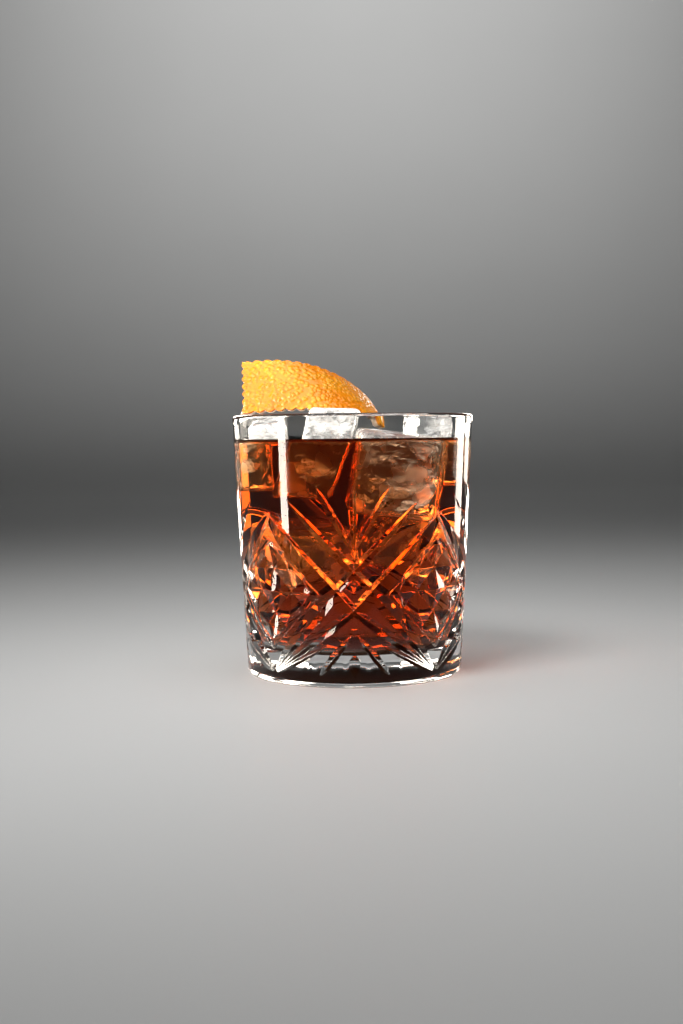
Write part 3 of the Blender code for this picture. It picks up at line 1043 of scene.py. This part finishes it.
@dataclass
class Tumbler:
    """The tumbler: heel, cut wall, fire-polished rim, bore and thick foot, in millimetres."""

    height: float = 90.0
    rim_r: float = 42.0
    foot_r: float = 37.55
    rim_wall: float = 2.3
    heel: tuple[Point, ...] = ((36.3, 0.0), (36.75, 0.25), (37.1, 0.8), (37.35, 1.35),
                               (37.5, 1.9), (37.62, 2.55))
    base_thick: float = 9.8
    corner_r: float = 12.0
    corner_wall_r: float = 33.95
    corner_top: float = 22.0
    turn: float = 1.5
    pattern: CutPattern = field(default_factory=CutPattern)
    finish: GlassFinish = field(default_factory=GlassFinish)

    def wall_r(self, z: float) -> float:
        """Outer radius of the uncut wall at a height."""
        return self.foot_r + (self.rim_r - self.foot_r) * z / self.height

    @property
    def lean(self) -> float:
        """Lean of the bore's wall, in radians."""
        return math.atan2(self.rim_r - self.rim_wall - self.corner_wall_r,
                          self.height - 1.1 - self.corner_top)

    @property
    def corner(self) -> Point:
        """Middle of the inside corner's round.

        Returns:
            Its radius and height.
        """
        z = self.base_thick + self.corner_r
        at = self.corner_wall_r + (z - self.corner_top) * math.tan(self.lean)
        return at - self.corner_r / math.cos(self.lean), z

    def bore_r(self, z: float, gap: float = 0.0) -> float:
        """Inner radius of the straight part of the wall.

        Args:
            z: height, in millimetres.
            gap: how far inside the glass surface; negative reaches into it.

        Returns:
            The radius, in millimetres.
        """
        r, corner_z = self.corner
        return (r + (self.corner_r - gap) / math.cos(self.lean)
                + (z - corner_z) * math.tan(self.lean))

    def bore_profile(self, gap: float, steps: int = 14) -> list[Point]:
        """Inside of the bore from its middle to the top of its corner.

        Args:
            gap: how far inside the glass surface the profile runs; negative reaches into it.
            steps: stretches round the corner.

        Returns:
            (radius, height) pairs.
        """
        r, z = self.corner
        radius = self.corner_r - gap
        points = [(0.0, self.base_thick + gap), (r * 0.5, self.base_thick + gap)]
        for k in range(steps + 1):
            turn = (math.radians(90) - self.lean) * k / steps
            points.append((r + radius * math.sin(turn), z - radius * math.cos(turn)))
        return points

    def rim_profile(self) -> list[Point]:
        """The skin from the top of the pattern over the rounded rim and down the bore.

        Returns:
            (radius, height) pairs.
        """
        half = self.rim_wall / 2
        centre_r, centre_z = self.rim_r - half, self.height - half
        points = [(self.wall_r(z), z) for z in (self.pattern.high, 80.0, 86.0)]
        for k in range(17):
            turn = math.pi * k / 16
            points.append((centre_r + half * math.cos(turn), centre_z + half * math.sin(turn)))
        points += [(self.bore_r(z), z) for z in (84.0, 74.0, 60.0, 46.0, 34.0)]
        return points

    def build(self, level: float) -> bpy.types.Object:
        """Build the glass as one closed skin with rounded creases.

        Args:
            level: height of the drink, in millimetres.

        Returns:
            The tumbler.
        """
        bm = bmesh.new()
        tilt = bm.verts.layers.float_vector.new("cut_normal")
        turned(bm, self.rim_profile() + self.bore_profile(0.0)[::-1], self.turn)
        foot = [(0.0, 0.0), (20.0, 0.0), (34.0, 0.0), *self.heel,
                (self.wall_r(self.pattern.low), self.pattern.low)]
        turned(bm, foot, self.turn)
        self.add_pattern(bm, tilt)
        bmesh.ops.remove_doubles(bm, verts=bm.verts, dist=0.004)
        bmesh.ops.recalc_face_normals(bm, faces=bm.faces[:])
        normals = [tuple(v[tilt]) for v in bm.verts]
        obj = bmesh_object("tumbler", bm)
        obj.data.normals_split_custom_set_from_vertices(normals)
        obj.data.attributes.remove(obj.data.attributes["cut_normal"])

        def wet(middle: Vector, normal: Vector) -> bool:
            """Whether a face is inside the bore and under the drink."""
            inward = normal.x * middle.x + normal.y * middle.y < 0 or normal.z > 0.5
            return inward and self.base_thick - 1 < middle.z < level

        finish_by_place(obj, self.finish.material(False), self.finish.material(True), wet)
        return obj

    def add_pattern(self, bm: bmesh.types.BMesh, tilt: object) -> None:
        """Roll the cut strip round the wall, eight times, every other one mirrored.

        Args:
            bm: the tumbler's mesh, in millimetres.
            tilt: vertex layer that takes each point's exact normal.
        """
        p = self.pattern
        flat, depths, slopes, faces = CreaseMap(p).mesh(round(p.field_angle / self.turn))
        angle = flat[:, 0] / p.unroll_r
        radius = self.foot_r + (self.rim_r - self.foot_r) * flat[:, 1] / self.height - depths
        taper = (self.rim_r - self.foot_r) / self.height
        for k in range(8):
            sign = -1.0 if k % 2 else 1.0
            theta = math.radians((k + k % 2) * p.field_angle) + sign * angle
            out = np.stack([np.sin(theta), -np.cos(theta), np.zeros_like(theta)], axis=1)
            around = np.stack([np.cos(theta), np.sin(theta), np.zeros_like(theta)], axis=1)
            spin = sign * slopes[:, 0] * p.unroll_r
            rise = taper - slopes[:, 1]
            turn_step = radius[:, None] * around - spin[:, None] * out
            up_step = rise[:, None] * out + np.array([0.0, 0.0, 1.0])
            normal = np.cross(turn_step, up_step)
            normal /= np.linalg.norm(normal, axis=1)[:, None]
            normal *= np.sign((normal * out).sum(axis=1))[:, None]
            place = radius[:, None] * out
            place[:, 2] = flat[:, 1]
            verts = []
            for spot, lean in zip(place, normal):
                vert = bm.verts.new(spot)
                vert[tilt] = lean
                verts.append(vert)
            for face in faces:
                loop = [verts[i] for i in face]
                bm.faces.new(loop[::-1] if k % 2 else loop)


# ---------------------------------------------------------------- ice

@dataclass
class IceCube:
    """One melting cube: size, place and tilt in millimetres and degrees, and its milkiness."""

    name: str
    centre: tuple[float, float, float]
    size: tuple[float, float, float]
    tilt: tuple[float, float, float]
    lean: float = 0.0
    taper: float = 1.0
    radius: float = 2.0
    seed: float = 0.0
    grid: int = 22
    dimple: float = 0.22
    cloud: float = 0.0
    frost_depth: float = 0.25
    frost_gap: float = 0.2
    shells: int = 5
    core: float = 0.30
    shell_step: float = 0.15

    def matrix(self) -> Matrix:
        """The cube's turn and place."""
        turn = Euler([math.radians(a) for a in self.tilt]).to_matrix().to_4x4()
        return Matrix.Translation(self.centre) @ turn

    def surface(self, shrink: float) -> tuple[list[Vector], list[tuple[int, ...]]]:
        """Points and faces of the cube, pulled in by a small distance.

        Args:
            shrink: distance in millimetres from the true surface.

        Returns:
            Points in millimetres and quads, outward side anticlockwise.
        """
        half = Vector(self.size) / 2
        matrix = self.matrix()
        index: dict[tuple, int] = {}
        points: list[Vector] = []
        faces: list[tuple[int, ...]] = []
        n = self.grid
        for axis in range(3):
            for sign in (-1, 1):
                for i in range(n):
                    for j in range(n):
                        loop = []
                        for di, dj in ((0, 0), (1, 0), (1, 1), (0, 1)):
                            unit = [0.0, 0.0, 0.0]
                            unit[axis] = float(sign)
                            unit[(axis + 1) % 3] = self.spread(i + di)
                            unit[(axis + 2) % 3] = self.spread(j + dj)
                            key = tuple(round(c, 5) for c in unit)
                            if key not in index:
                                index[key] = len(points)
                                points.append(matrix @ self.place(Vector(unit), half, shrink))
                            loop.append(index[key])
                        faces.append(tuple(loop if sign > 0 else loop[::-1]))
        return points, faces

    def spread(self, i: int) -> float:
        """Even steps from -1 to 1 with more of them near the rounded edges."""
        t = 2 * i / self.grid - 1
        return math.sin(t * math.pi / 2) * 0.55 + t * 0.45

    def place(self, unit: Vector, half: Vector, shrink: float) -> Vector:
        """Move a point of a unit cube onto the rounded, dimpled cube.

        Args:
            unit: the point, from -1 to 1 each way.
            half: half the cube's size.
            shrink: distance in millimetres from the true surface.

        Returns:
            The point in millimetres, before the cube is turned and placed.
        """
        inner = Vector((h - self.radius for h in half))
        flat = Vector((u * h for u, h in zip(unit, half)))
        core = Vector((max(-k, min(k, c)) for k, c in zip(inner, flat)))
        out = flat - core
        if out.length < 1e-6:
            out = Vector(unit)
        out.normalize()
        point = core + out * self.radius
        probe = point * 0.13 + Vector((self.seed * 7.3, self.seed * 3.1, self.seed * 5.7))
        wave = noise.noise(probe) * self.dimple * 1.6
        wave += noise.noise(probe * 3.7) * self.dimple * 0.5
        point += out * (wave - shrink)
        up = point.z / self.size[2]
        point.x = point.x * (1 + (self.taper - 1) * 2 * up) + self.lean * 2 * up
        point.y = point.y * (1 + (self.taper - 1) * 2 * up)
        return point

    def build(self, dry: bpy.types.Material, wet: bpy.types.Material,
              level: float) -> bpy.types.Object:
        """Build the cube's skin.

        Args:
            dry: finish above the drink.
            wet: finish under the drink.
            level: height of the drink, in millimetres.

        Returns:
            The cube.
        """
        obj = mesh_object(self.name, *self.surface(0.0))
        finish_by_place(obj, dry, wet, lambda middle, normal: middle.z < level)
        return obj

    def cutter(self, shrink: float) -> bpy.types.Object:
        """A closed shape just inside the cube, for the hollow it leaves in the drink."""
        return mesh_object(self.name + "_hollow", *self.surface(shrink))

    def frosting(self, finish: bpy.types.Material, level: float) -> bpy.types.Object:
        """Build the frosted skin of the part that stands out of the drink.

        Args:
            finish: the frost.
            level: height of the drink, in millimetres.

        Returns:
            A skin just under the cube's surface.
        """
        points, faces = self.surface(self.frost_depth)
        kept = [f for f in faces if all(points[i].z > level + self.frost_gap for i in f)]
        used = sorted({i for f in kept for i in f})
        place = {old: new for new, old in enumerate(used)}
        obj = mesh_object(self.name + "_frost", [points[i] for i in used],
                          [tuple(place[i] for i in f) for f in kept])
        obj.data.materials.append(finish)
        return obj

    def veils(self, finish: bpy.types.Material) -> Optional[bpy.types.Object]:
        """Build crumpled shells of trapped air in the cube's heart.

        Args:
            finish: the veils' material.

        Returns:
            The veils, or nothing for a clear cube.
        """
        if self.cloud <= 0.0:
            return None
        bm = bmesh.new()
        for shell in range(self.shells):
            share = (self.core + self.shell_step * shell) * self.cloud
            made = bmesh.ops.create_icosphere(bm, subdivisions=4, radius=1.0)["verts"]
            for vert in made:
                push = vert.co.normalized()
                square = max(abs(c) for c in push) ** -0.7
                probe = push * 1.7 + Vector((self.seed + shell * 2.1,) * 3)
                wave = 1 + 0.16 * noise.noise(probe) + 0.07 * noise.noise(probe * 3.1)
                vert.co = Vector(push[i] * self.size[i] / 2 * share * wave * square
                                 for i in range(3))
            bmesh.ops.transform(bm, matrix=self.matrix(), verts=made)
        obj = bmesh_object(self.name + "_veils", bm)
        obj.data.materials.append(finish)
        return obj


class Ice(Enum):
    """The cubes: those that stand out of the drink, named as their solids, and sunk ones."""

    FRONT_RIGHT = IceCube("ice_front_right", (13.0, -14.6, 69.6), (26.0, 22.5, 27.5),
                          (3.0, 8.0, 5.0), 0.0, 1.0, 2.2, 1.0, cloud=1.0)
    MIDDLE = IceCube("ice_middle", (-9.6, -4.5, 77.0), (16.4, 16.4, 30.8),
                     (-2.0, 4.0, -3.0), 3.2, 1.06, 1.8, 2.0, cloud=0.8)
    LEFT = IceCube("ice_left", (-28.9, -0.6, 75.6), (12.8, 16.0, 22.5),
                   (2.0, -2.0, 4.0), -0.5, 1.04, 1.8, 3.0, cloud=0.5)
    BACK_RIGHT = IceCube("ice_back_right", (26.4, 8.6, 76.4), (14.0, 15.5, 21.5),
                         (-3.0, 3.0, 16.0), 0.6, 1.04, 1.8, 4.0, cloud=0.8)
    SUNK_LEFT = IceCube("sunk_left", (-12.5, 2.0, 42.0), (22.0, 22.0, 21.0),
                        (14.0, -9.0, 24.0), 0.0, 1.0, 2.6, 5.0, cloud=0.7)
    SUNK_RIGHT = IceCube("sunk_right", (12.0, 9.0, 45.0), (19.0, 20.0, 18.0),
                         (-12.0, 11.0, -20.0), 0.0, 1.0, 2.6, 6.0, cloud=0.7)

    @property
    def sunk(self) -> bool:
        """Whether the cube lies wholly under the drink."""
        return self.value.name.startswith("sunk")


# ---------------------------------------------------------------- drink

@dataclass
class Drink:
    """The drink: fills the bore and reaches a hair into the glass, so no air shows between."""

    tumbler: Tumbler
    level: float = 80.7
    overlap: float = 0.12
    bite: float = 0.10
    turn: float = 2.0
    meniscus: tuple[Point, ...] = ((0.0, 1.15), (0.3, 0.78), (0.7, 0.46), (1.2, 0.25),
                                   (1.9, 0.1), (2.8, 0.02), (4.0, 0.0))
    finish: DrinkFinish = field(default_factory=DrinkFinish)

    def build(self) -> bpy.types.Object:
        """Build the drink with a hollow for each cube.

        Returns:
            The drink.
        """
        body = self.tumbler
        profile = body.bore_profile(-self.overlap)
        profile += [(body.bore_r(z, -self.overlap), z) for z in (34.0, 48.0, 62.0, 74.0,
                                                                 self.level)]
        profile += [(body.bore_r(self.level + rise, -self.overlap) - inset, self.level + rise)
                    for inset, rise in self.meniscus]
        profile += [(r, self.level) for r in (26.0, 13.0, 0.0)]
        bm = bmesh.new()
        turned(bm, profile, self.turn)
        bmesh.ops.recalc_face_normals(bm, faces=bm.faces[:])
        obj = bmesh_object("negroni", bm)
        for ice in Ice:
            subtract(obj, ice.value.cutter(self.bite))
        obj.data.shade_smooth()
        obj.data.set_sharp_from_angle(angle=math.radians(38))

        def wet(middle: Vector, normal: Vector) -> bool:
            """Whether a face is a side, the bottom or a hollow, and not the open top."""
            return middle.z < self.level - 0.05 or normal.z < 0.2

        finish_by_place(obj, self.finish.material(False), self.finish.material(True), wet)
        return obj


# ---------------------------------------------------------------- bubbles

@dataclass
class BubbleScatter:
    """Geometry Nodes that scatter fine bubbles over a guide surface.

    The density is per square metre, the sizes are radii in millimetres.
    """

    name: str
    density: float = 4.0e6
    smallest: float = 0.08
    largest: float = 0.26
    seed: int = 11

    def tree(self, finish: bpy.types.Material) -> bpy.types.NodeTree:
        """Build the scatter tree with named inputs for its sizes.

        Args:
            finish: the bubbles' material.

        Returns:
            The geometry node group.
        """
        group = bpy.data.node_groups.new(self.name + "_scatter", "GeometryNodeTree")
        face = group.interface
        face.new_socket("Geometry", in_out="INPUT", socket_type="NodeSocketGeometry")
        for label in ("Density", "Smallest", "Largest"):
            face.new_socket(label, in_out="INPUT", socket_type="NodeSocketFloat")
        face.new_socket("Geometry", in_out="OUTPUT", socket_type="NodeSocketGeometry")
        tree = NodeTree(group)
        inner = tree.add("NodeGroupInput")
        outer = tree.add("NodeGroupOutput")
        spots = tree.add("GeometryNodeDistributePointsOnFaces", Seed=self.seed,
                         Density=inner.outputs["Density"])
        tree.put(spots.inputs["Mesh"], inner.outputs["Geometry"])
        ball = tree.add("GeometryNodeMeshIcoSphere", Radius=1.0, Subdivisions=2)
        size = tree.add("FunctionNodeRandomValue", {"data_type": "FLOAT"}, Seed=self.seed + 1)
        tree.put(size.inputs[2], inner.outputs["Smallest"])
        tree.put(size.inputs[3], inner.outputs["Largest"])
        placed = tree.add("GeometryNodeInstanceOnPoints")
        tree.put(placed.inputs["Points"], spots.outputs["Points"])
        tree.put(placed.inputs["Instance"], ball.outputs["Mesh"])
        tree.put(placed.inputs["Scale"], size.outputs[1])
        real = tree.add("GeometryNodeRealizeInstances")
        tree.put(real.inputs[0], placed.outputs["Instances"])
        smooth = tree.add("GeometryNodeSetShadeSmooth")
        tree.put(smooth.inputs[0], real.outputs[0])
        coated = tree.add("GeometryNodeSetMaterial")
        tree.put(coated.inputs[0], smooth.outputs[0])
        coated.inputs["Material"].default_value = finish
        tree.put(outer.inputs[0], coated.outputs[0])
        return group

    def build(self, guide: bpy.types.Object, finish: bpy.types.Material) -> bpy.types.Object:
        """Scatter bubbles over a guide and turn them into a plain mesh.

        Args:
            guide: surface to scatter over; it is used up.
            finish: the bubbles' material.

        Returns:
            The finished bubbles.
        """
        group = self.tree(finish)
        mod = guide.modifiers.new("scatter", "NODES")
        mod.node_group = group
        sizes = {"Density": self.density, "Smallest": self.smallest * MM,
                 "Largest": self.largest * MM}
        for item in group.interface.items_tree:
            if item.item_type == "SOCKET" and item.in_out == "INPUT" and item.name in sizes:
                mod[item.identifier] = sizes[item.name]
        bake_modifiers(guide)
        guide.name = self.name
        guide.data.name = self.name
        return guide


def waterline_guide(cube: IceCube, level: float, band: float = 0.5) -> bpy.types.Object:
    """A thin band round a cube where it leaves the drink.

    Args:
        cube: the cube.
        level: height of the drink's surface, in millimetres.
        band: how far it reaches under the surface, a third of its reach above.

    Returns:
        A guide surface for scattering.
    """
    points, faces = cube.surface(-0.05)
    kept = [f for f in faces if all(level - band < points[i].z < level + band * 3 for i in f)]
    return mesh_object(cube.name + "_waterline", points, kept)


# ---------------------------------------------------------------- orange peel

@dataclass
class OrangePeel:
    """Pinked strip of peel curled back at its right, in millimetres and degrees."""

    length: float = 53.0
    width: float = 25.4
    thick: float = 2.3
    corner: tuple[float, float, float] = (-38.8, 5.2, 91.0)
    lean: float = 37.5
    rise: float = 4.5
    slant: float = 31.0
    flat: float = 15.0
    curl_r: float = 37.5
    dome_r: float = 150.0
    pitch: float = 3.68
    notch: float = 1.0
    notch_points: int = 14
    cell: float = 0.9
    inset: float = 2.6
    layers: int = 5
    cut_slant: float = 1.0
    flare_reach: float = 9.0
    finish: PeelFinish = field(default_factory=PeelFinish)

    def outline(self) -> list[Vector]:
        """Scalloped outline of the flat strip.

        Returns:
            Its points in millimetres, anticlockwise.
        """
        counts = [round(side / self.pitch) for side in (self.length, self.width)]
        corners = ((0, 0), (self.length, 0), (self.length, self.width), (0, self.width))
        points = []
        for k in range(4):
            a = Vector(corners[k])
            b = Vector(corners[(k + 1) % 4])
            out = Vector(((b - a).y, -(b - a).x)).normalized()
            total = counts[k % 2] * self.notch_points
            for i in range(total):
                wave = abs(math.sin(math.pi * i / self.notch_points)) - 1.0
                fade = min(i, total - i, self.notch_points / 2) / (self.notch_points / 2)
                points.append(a + (b - a) * i / total + out * (self.notch * wave * fade))
        return points

    def place(self, u: float, v: float, depth: float) -> Vector:
        """Bend a point of the flat strip to where it comes to lie.

        Args:
            u: place along the strip.
            v: place across the strip.
            depth: depth under the skin.

        Returns:
            The point in millimetres.
        """
        slant, lean, rise = (math.radians(a) for a in (self.slant, self.lean, self.rise))
        run = u * math.cos(slant) + v * math.sin(slant)
        over = -u * math.sin(slant) + v * math.cos(slant)
        along = Vector((math.cos(rise), 0.0, math.sin(rise)))
        up = Vector((-math.sin(rise) * math.cos(lean), math.sin(lean),
                     math.cos(rise) * math.cos(lean)))
        normal = along.cross(up)
        forward = along * math.cos(slant) + up * math.sin(slant)
        across = -along * math.sin(slant) + up * math.cos(slant)
        bend = max(0.0, run - self.flat) / self.curl_r
        x = min(run, self.flat) + (self.curl_r - depth) * math.sin(bend)
        y = (self.curl_r - depth) * (1 - math.cos(bend)) + depth
        y += over * over / (2 * self.dome_r)
        return Vector(self.corner) + forward * x + across * over - normal * y

    def undercut(self, p: Vector, share: float) -> Vector:
        """Where a point of the strip moves under the skin: in by the slant of the cut.

        Args:
            p: point of the flat strip.
            share: how deep it lies, as a share of the thickness.

        Returns:
            The moved point; low on the left end the cut flares out and shows the pith.
        """
        middle = Vector((self.length / 2, self.width / 2))
        by = self.cut_slant * share
        if p.x < 2.0 and p.y < self.flare_reach:
            by *= 1.0 - 2.2 * (1.0 - max(0.0, p.y) / self.flare_reach)
        return Vector((p.x + (middle.x - p.x) / middle.x * by,
                       p.y + (middle.y - p.y) / middle.y * abs(by)))

    def relief(self, u: float, v: float) -> float:
        """Small swells and dents of the skin, in millimetres."""
        return 0.10 * noise.noise(Vector((u * 0.22, v * 0.22, 3.0))) + 0.045 * noise.noise(
            Vector((u * 0.8, v * 0.8, 9.0)))

    def build(self) -> bpy.types.Object:
        """Build the strip: skin, pith face and a layered cut edge.

        Returns:
            The peel.
        """
        outline = self.outline()
        count = len(outline)
        inset = self.inset
        cols = round((self.length - 2 * inset) / self.cell)
        rows = round((self.width - 2 * inset) / self.cell)
        points = list(outline)
        for i in range(cols + 1):
            for j in range(rows + 1):
                points.append(Vector((inset + (self.length - 2 * inset) * i / cols,
                                      inset + (self.width - 2 * inset) * j / rows)))
        edges = [(i, (i + 1) % count) for i in range(count)]
        flat, _, faces, _, _, _ = delaunay_2d_cdt(points, edges, [], 1, 1e-6)
        bm = bmesh.new()
        layer = bm.verts.layers.float.new("peel_layer")

        def vert(p: Vector, depth: float) -> bmesh.types.BMVert:
            """Add one point of the peel and note its layer.

            Args:
                p: point of the flat strip.
                depth: depth under the skin.

            Returns:
                The new vertex.
            """
            share = depth / self.thick
            p = self.undercut(p, share)
            made = bm.verts.new(self.place(p.x, p.y, depth - self.relief(p.x, p.y) * (1 - share)))
            made[layer] = share
            return made

        skin = [vert(p, 0.0) for p in flat]
        pith = [vert(p, self.thick) for p in flat]
        for face in faces:
            bm.faces.new([skin[i] for i in face])
            bm.faces.new([pith[i] for i in reversed(face)])
        rings = [skin[:count]]
        for k in range(1, self.layers):
            share = (k / self.layers) ** 1.3
            rings.append([vert(p, self.thick * share) for p in outline])
        rings.append(pith[:count])
        for upper, lower in zip(rings, rings[1:]):
            for i in range(count):
                n = (i + 1) % count
                bm.faces.new((upper[n], upper[i], lower[i], lower[n]))
        bmesh.ops.recalc_face_normals(bm, faces=bm.faces[:])
        obj = bmesh_object("orange_twist", bm)
        obj.data.set_sharp_from_angle(angle=math.radians(50))
        obj.data.materials.append(self.finish.material())
        return obj


# ---------------------------------------------------------------- studio

class Softbox(Enum):
    """The lights: place and aim in metres, size in metres, watts, beam in degrees.

    The last entry says whether flags keep the light off the floor and backdrop.
    """

    OVERHEAD = ((0.0, -0.02, 0.62), (0.0, -0.02, 0.0), (0.50, 0.50), 0.95, 120.0, False)
    KEY = ((-0.16, -0.24, 0.40), (0.0, 0.0, 0.10), (0.16, 0.16), 0.43, 100.0, False)
    BACKDROP = ((0.0, 1.2, 1.4), (0.0, 2.4, 1.0), (1.5, 0.5), 5.0, 100.0, False)
    LEFT_STRIP = ((-0.274, -0.122, 0.165), (0.0, 0.0, 0.165), (0.042, 0.32), 1.00, 110.0, True)
    RIGHT_STRIP = ((0.378, 0.244, 0.06), (0.0, 0.0, 0.05), (0.11, 0.12), 0.14, 100.0, True)
    RIGHT_EDGE = ((0.289, 0.345, 0.10), (0.0, 0.0, 0.05), (0.10, 0.12), 0.06, 100.0, True)
    LEFT_EDGE = ((-0.408, 0.190, 0.13), (0.0, 0.0, 0.05), (0.10, 0.12), 0.05, 100.0, True)
    BACK_RIGHT = ((0.154, 0.423, 0.15), (0.0, 0.0, 0.05), (0.10, 0.12), 0.12, 100.0, True)
    BACK_LEFT = ((-0.154, 0.423, 0.20), (0.0, 0.0, 0.05), (0.10, 0.12), 0.18, 100.0, True)
    LOW_RIGHT = ((0.17, 0.40, 0.022), (0.0, 0.0, 0.03), (0.14, 0.04), 0.04, 70.0, True)
    LOW_LEFT = ((-0.17, 0.40, 0.022), (0.0, 0.0, 0.03), (0.14, 0.04), 0.04, 70.0, True)


@dataclass
class Studio:
    """Pale cove, soft lights and the camera."""

    distance: float = 0.480
    eye: float = 0.08189
    pitch: float = 3.09
    yaw: float = 0.489
    tilt: float = -0.616
    focal_px: float = 1365.3
    frame_height_px: int = 1024
    sensor: float = 36.0
    world: Colour = (0.20, 0.205, 0.21)
    world_strength: float = 0.25
    warm: Colour = (1.0, 0.90, 0.78)
    cove_radius: float = 0.9
    cove_back: float = 1.5
    cove_front: float = -3.0
    cove_top: float = 3.5
    cove_side: float = 4.0
    cove_steps: int = 12
    flags: Optional[bpy.types.Collection] = None

    def camera(self) -> None:
        """Place the camera level with the rim, a touch to one side."""
        data = bpy.data.cameras.new("view")
        data.sensor_fit = "VERTICAL"
        data.sensor_height = self.sensor
        data.lens = self.focal_px * self.sensor / self.frame_height_px
        obj = bpy.data.objects.new("view", data)
        bpy.context.scene.collection.objects.link(obj)
        pitch, yaw, tilt = (math.radians(a) for a in (self.pitch, self.yaw, self.tilt))
        look = Vector((-math.sin(yaw) * math.cos(pitch), math.cos(yaw) * math.cos(pitch),
                       -math.sin(pitch)))
        right = Vector((math.cos(yaw), math.sin(yaw), 0.0))
        up = right.cross(look)
        turned_right = right * math.cos(tilt) + up * math.sin(tilt)
        turned_up = up * math.cos(tilt) - right * math.sin(tilt)
        rows = Matrix((turned_right, turned_up, -look)).transposed()
        obj.matrix_world = Matrix.Translation((0.0, -self.distance, self.eye)) @ rows.to_4x4()
        bpy.context.scene.camera = obj

    def softbox(self, name: str, place: tuple[float, float, float],
                aim: tuple[float, float, float], size: Point, power: float,
                spread: float, flagged: bool) -> None:
        """Hang one rectangular softbox.

        Args:
            name: the light's name.
            place: where it hangs, in metres.
            aim: the point it faces.
            size: width and height in metres.
            power: watts.
            spread: width of the beam in degrees, narrower behind a grid.
            flagged: whether it is one of the warm lights that flags keep off the cove.
        """
        data = bpy.data.lights.new(name, "AREA")
        data.shape = "RECTANGLE"
        data.size, data.size_y = size
        data.energy = power
        data.spread = math.radians(spread)
        obj = bpy.data.objects.new(name, data)
        obj.location = place
        obj.rotation_euler = (Vector(aim) - Vector(place)).to_track_quat("-Z", "Y").to_euler()
        obj.visible_camera = False
        if flagged:
            data.color = self.warm
            obj.light_linking.receiver_collection = self.flags
        bpy.context.scene.collection.objects.link(obj)

    def cove(self) -> None:
        """A floor that sweeps up into a backdrop, far behind."""
        radius, back, side = self.cove_radius, self.cove_back, self.cove_side
        profile = [(self.cove_front, 0.0)]
        for k in range(self.cove_steps + 1):
            turn = math.radians(90) * k / self.cove_steps
            profile.append((back + radius * math.sin(turn), radius * (1 - math.cos(turn))))
        profile.append((back + radius, self.cove_top))
        verts = [(x, y, z) for y, z in profile for x in (-side, side)]
        faces = [(2 * k, 2 * k + 1, 2 * k + 3, 2 * k + 2) for k in range(len(profile) - 1)]
        obj = mesh_object("cove", [tuple(c / MM for c in v) for v in verts], faces)
        obj.data.materials.append(FloorFinish().material())
        self.flags = bpy.data.collections.new("flags")
        self.flags.objects.link(obj)
        self.flags.collection_objects[0].light_linking.link_state = "EXCLUDE"

    def build(self) -> None:
        """Set up cove, world, lights and camera."""
        self.cove()
        world = bpy.data.worlds.new("studio")
        bpy.context.scene.world = world
        world.use_nodes = True
        shade = world.node_tree.nodes["Background"]
        shade.inputs["Color"].default_value = (*self.world, 1.0)
        shade.inputs["Strength"].default_value = self.world_strength
        for box in Softbox:
            self.softbox(box.name.lower(), *box.value)
        self.camera()


def setup_light_paths() -> None:
    """Let light pass through all the nested clear walls, and keep colours as strong as lit."""
    bpy.context.scene.view_settings.view_transform = "Standard"
    cycles = bpy.context.scene.cycles
    cycles.max_bounces = 20
    cycles.transmission_bounces = 20
    cycles.glossy_bounces = 12
    cycles.transparent_max_bounces = 14
    cycles.volume_bounces = 0


def dress(piece: bpy.types.Object, slot: str, *nodes: str) -> None:
    """Make a piece ride with the part and stand for its solids.

    Args:
        piece: the finished piece.
        slot: material slot of the record that it follows; not used.
        nodes: solids that it replaces.
    """
    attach(piece, "root")
    if nodes:
        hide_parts(*nodes)
    LOG.info("%s: %d faces", piece.name, len(piece.data.polygons))


def build_ice(bubbles: bpy.types.Material, level: float) -> None:
    """Build every cube with its veils, its frost and the bubbles along its waterline.

    Args:
        bubbles: the bubbles' material.
        level: height of the drink, in millimetres.
    """
    dry, wet = IceFinish().material(False), IceFinish().material(True)
    cloud = CloudFinish().material()
    thin_cloud = CloudFinish("ice_thin_cloud", 0.30).material()
    frost = CloudFinish("ice_frost", 0.98, 115.0, (0.38, 0.53)).material()
    thin_frost = CloudFinish("ice_thin_frost", 0.85, 115.0, (0.47, 0.61)).material()
    for ice in Ice:
        cube = ice.value
        if ice.sunk:
            dress(cube.build(dry, wet, level), "ice")
        else:
            obj = cube.build(dry, wet, level)
            obj.name = cube.name + "_melting"
            dress(obj, "ice", cube.name)
            dress(cube.frosting(frost if cube.centre[0] < 0.0 else thin_frost, level), "ice")
            scatter = BubbleScatter(cube.name + "_bubbles")
            dress(scatter.build(waterline_guide(cube, level), bubbles), "ice")
        veils = cube.veils(thin_cloud if ice.sunk else cloud)
        if veils:
            dress(veils, "ice")


def main() -> None:
    """Build the part and its studio."""
    logging.basicConfig(level=logging.INFO, format="%(name)s: %(message)s")
    setup_light_paths()
    tumbler = Tumbler()
    drink = Drink(tumbler)
    dress(tumbler.build(drink.level), "glass", "glass")
    dress(drink.build(), "negroni", "drink")
    build_ice(BubbleFinish().material(), drink.level)
    dress(OrangePeel().build(), "orange_peel", "orange_peel")
    Studio().build()


if __name__ == "__main__":
    main()
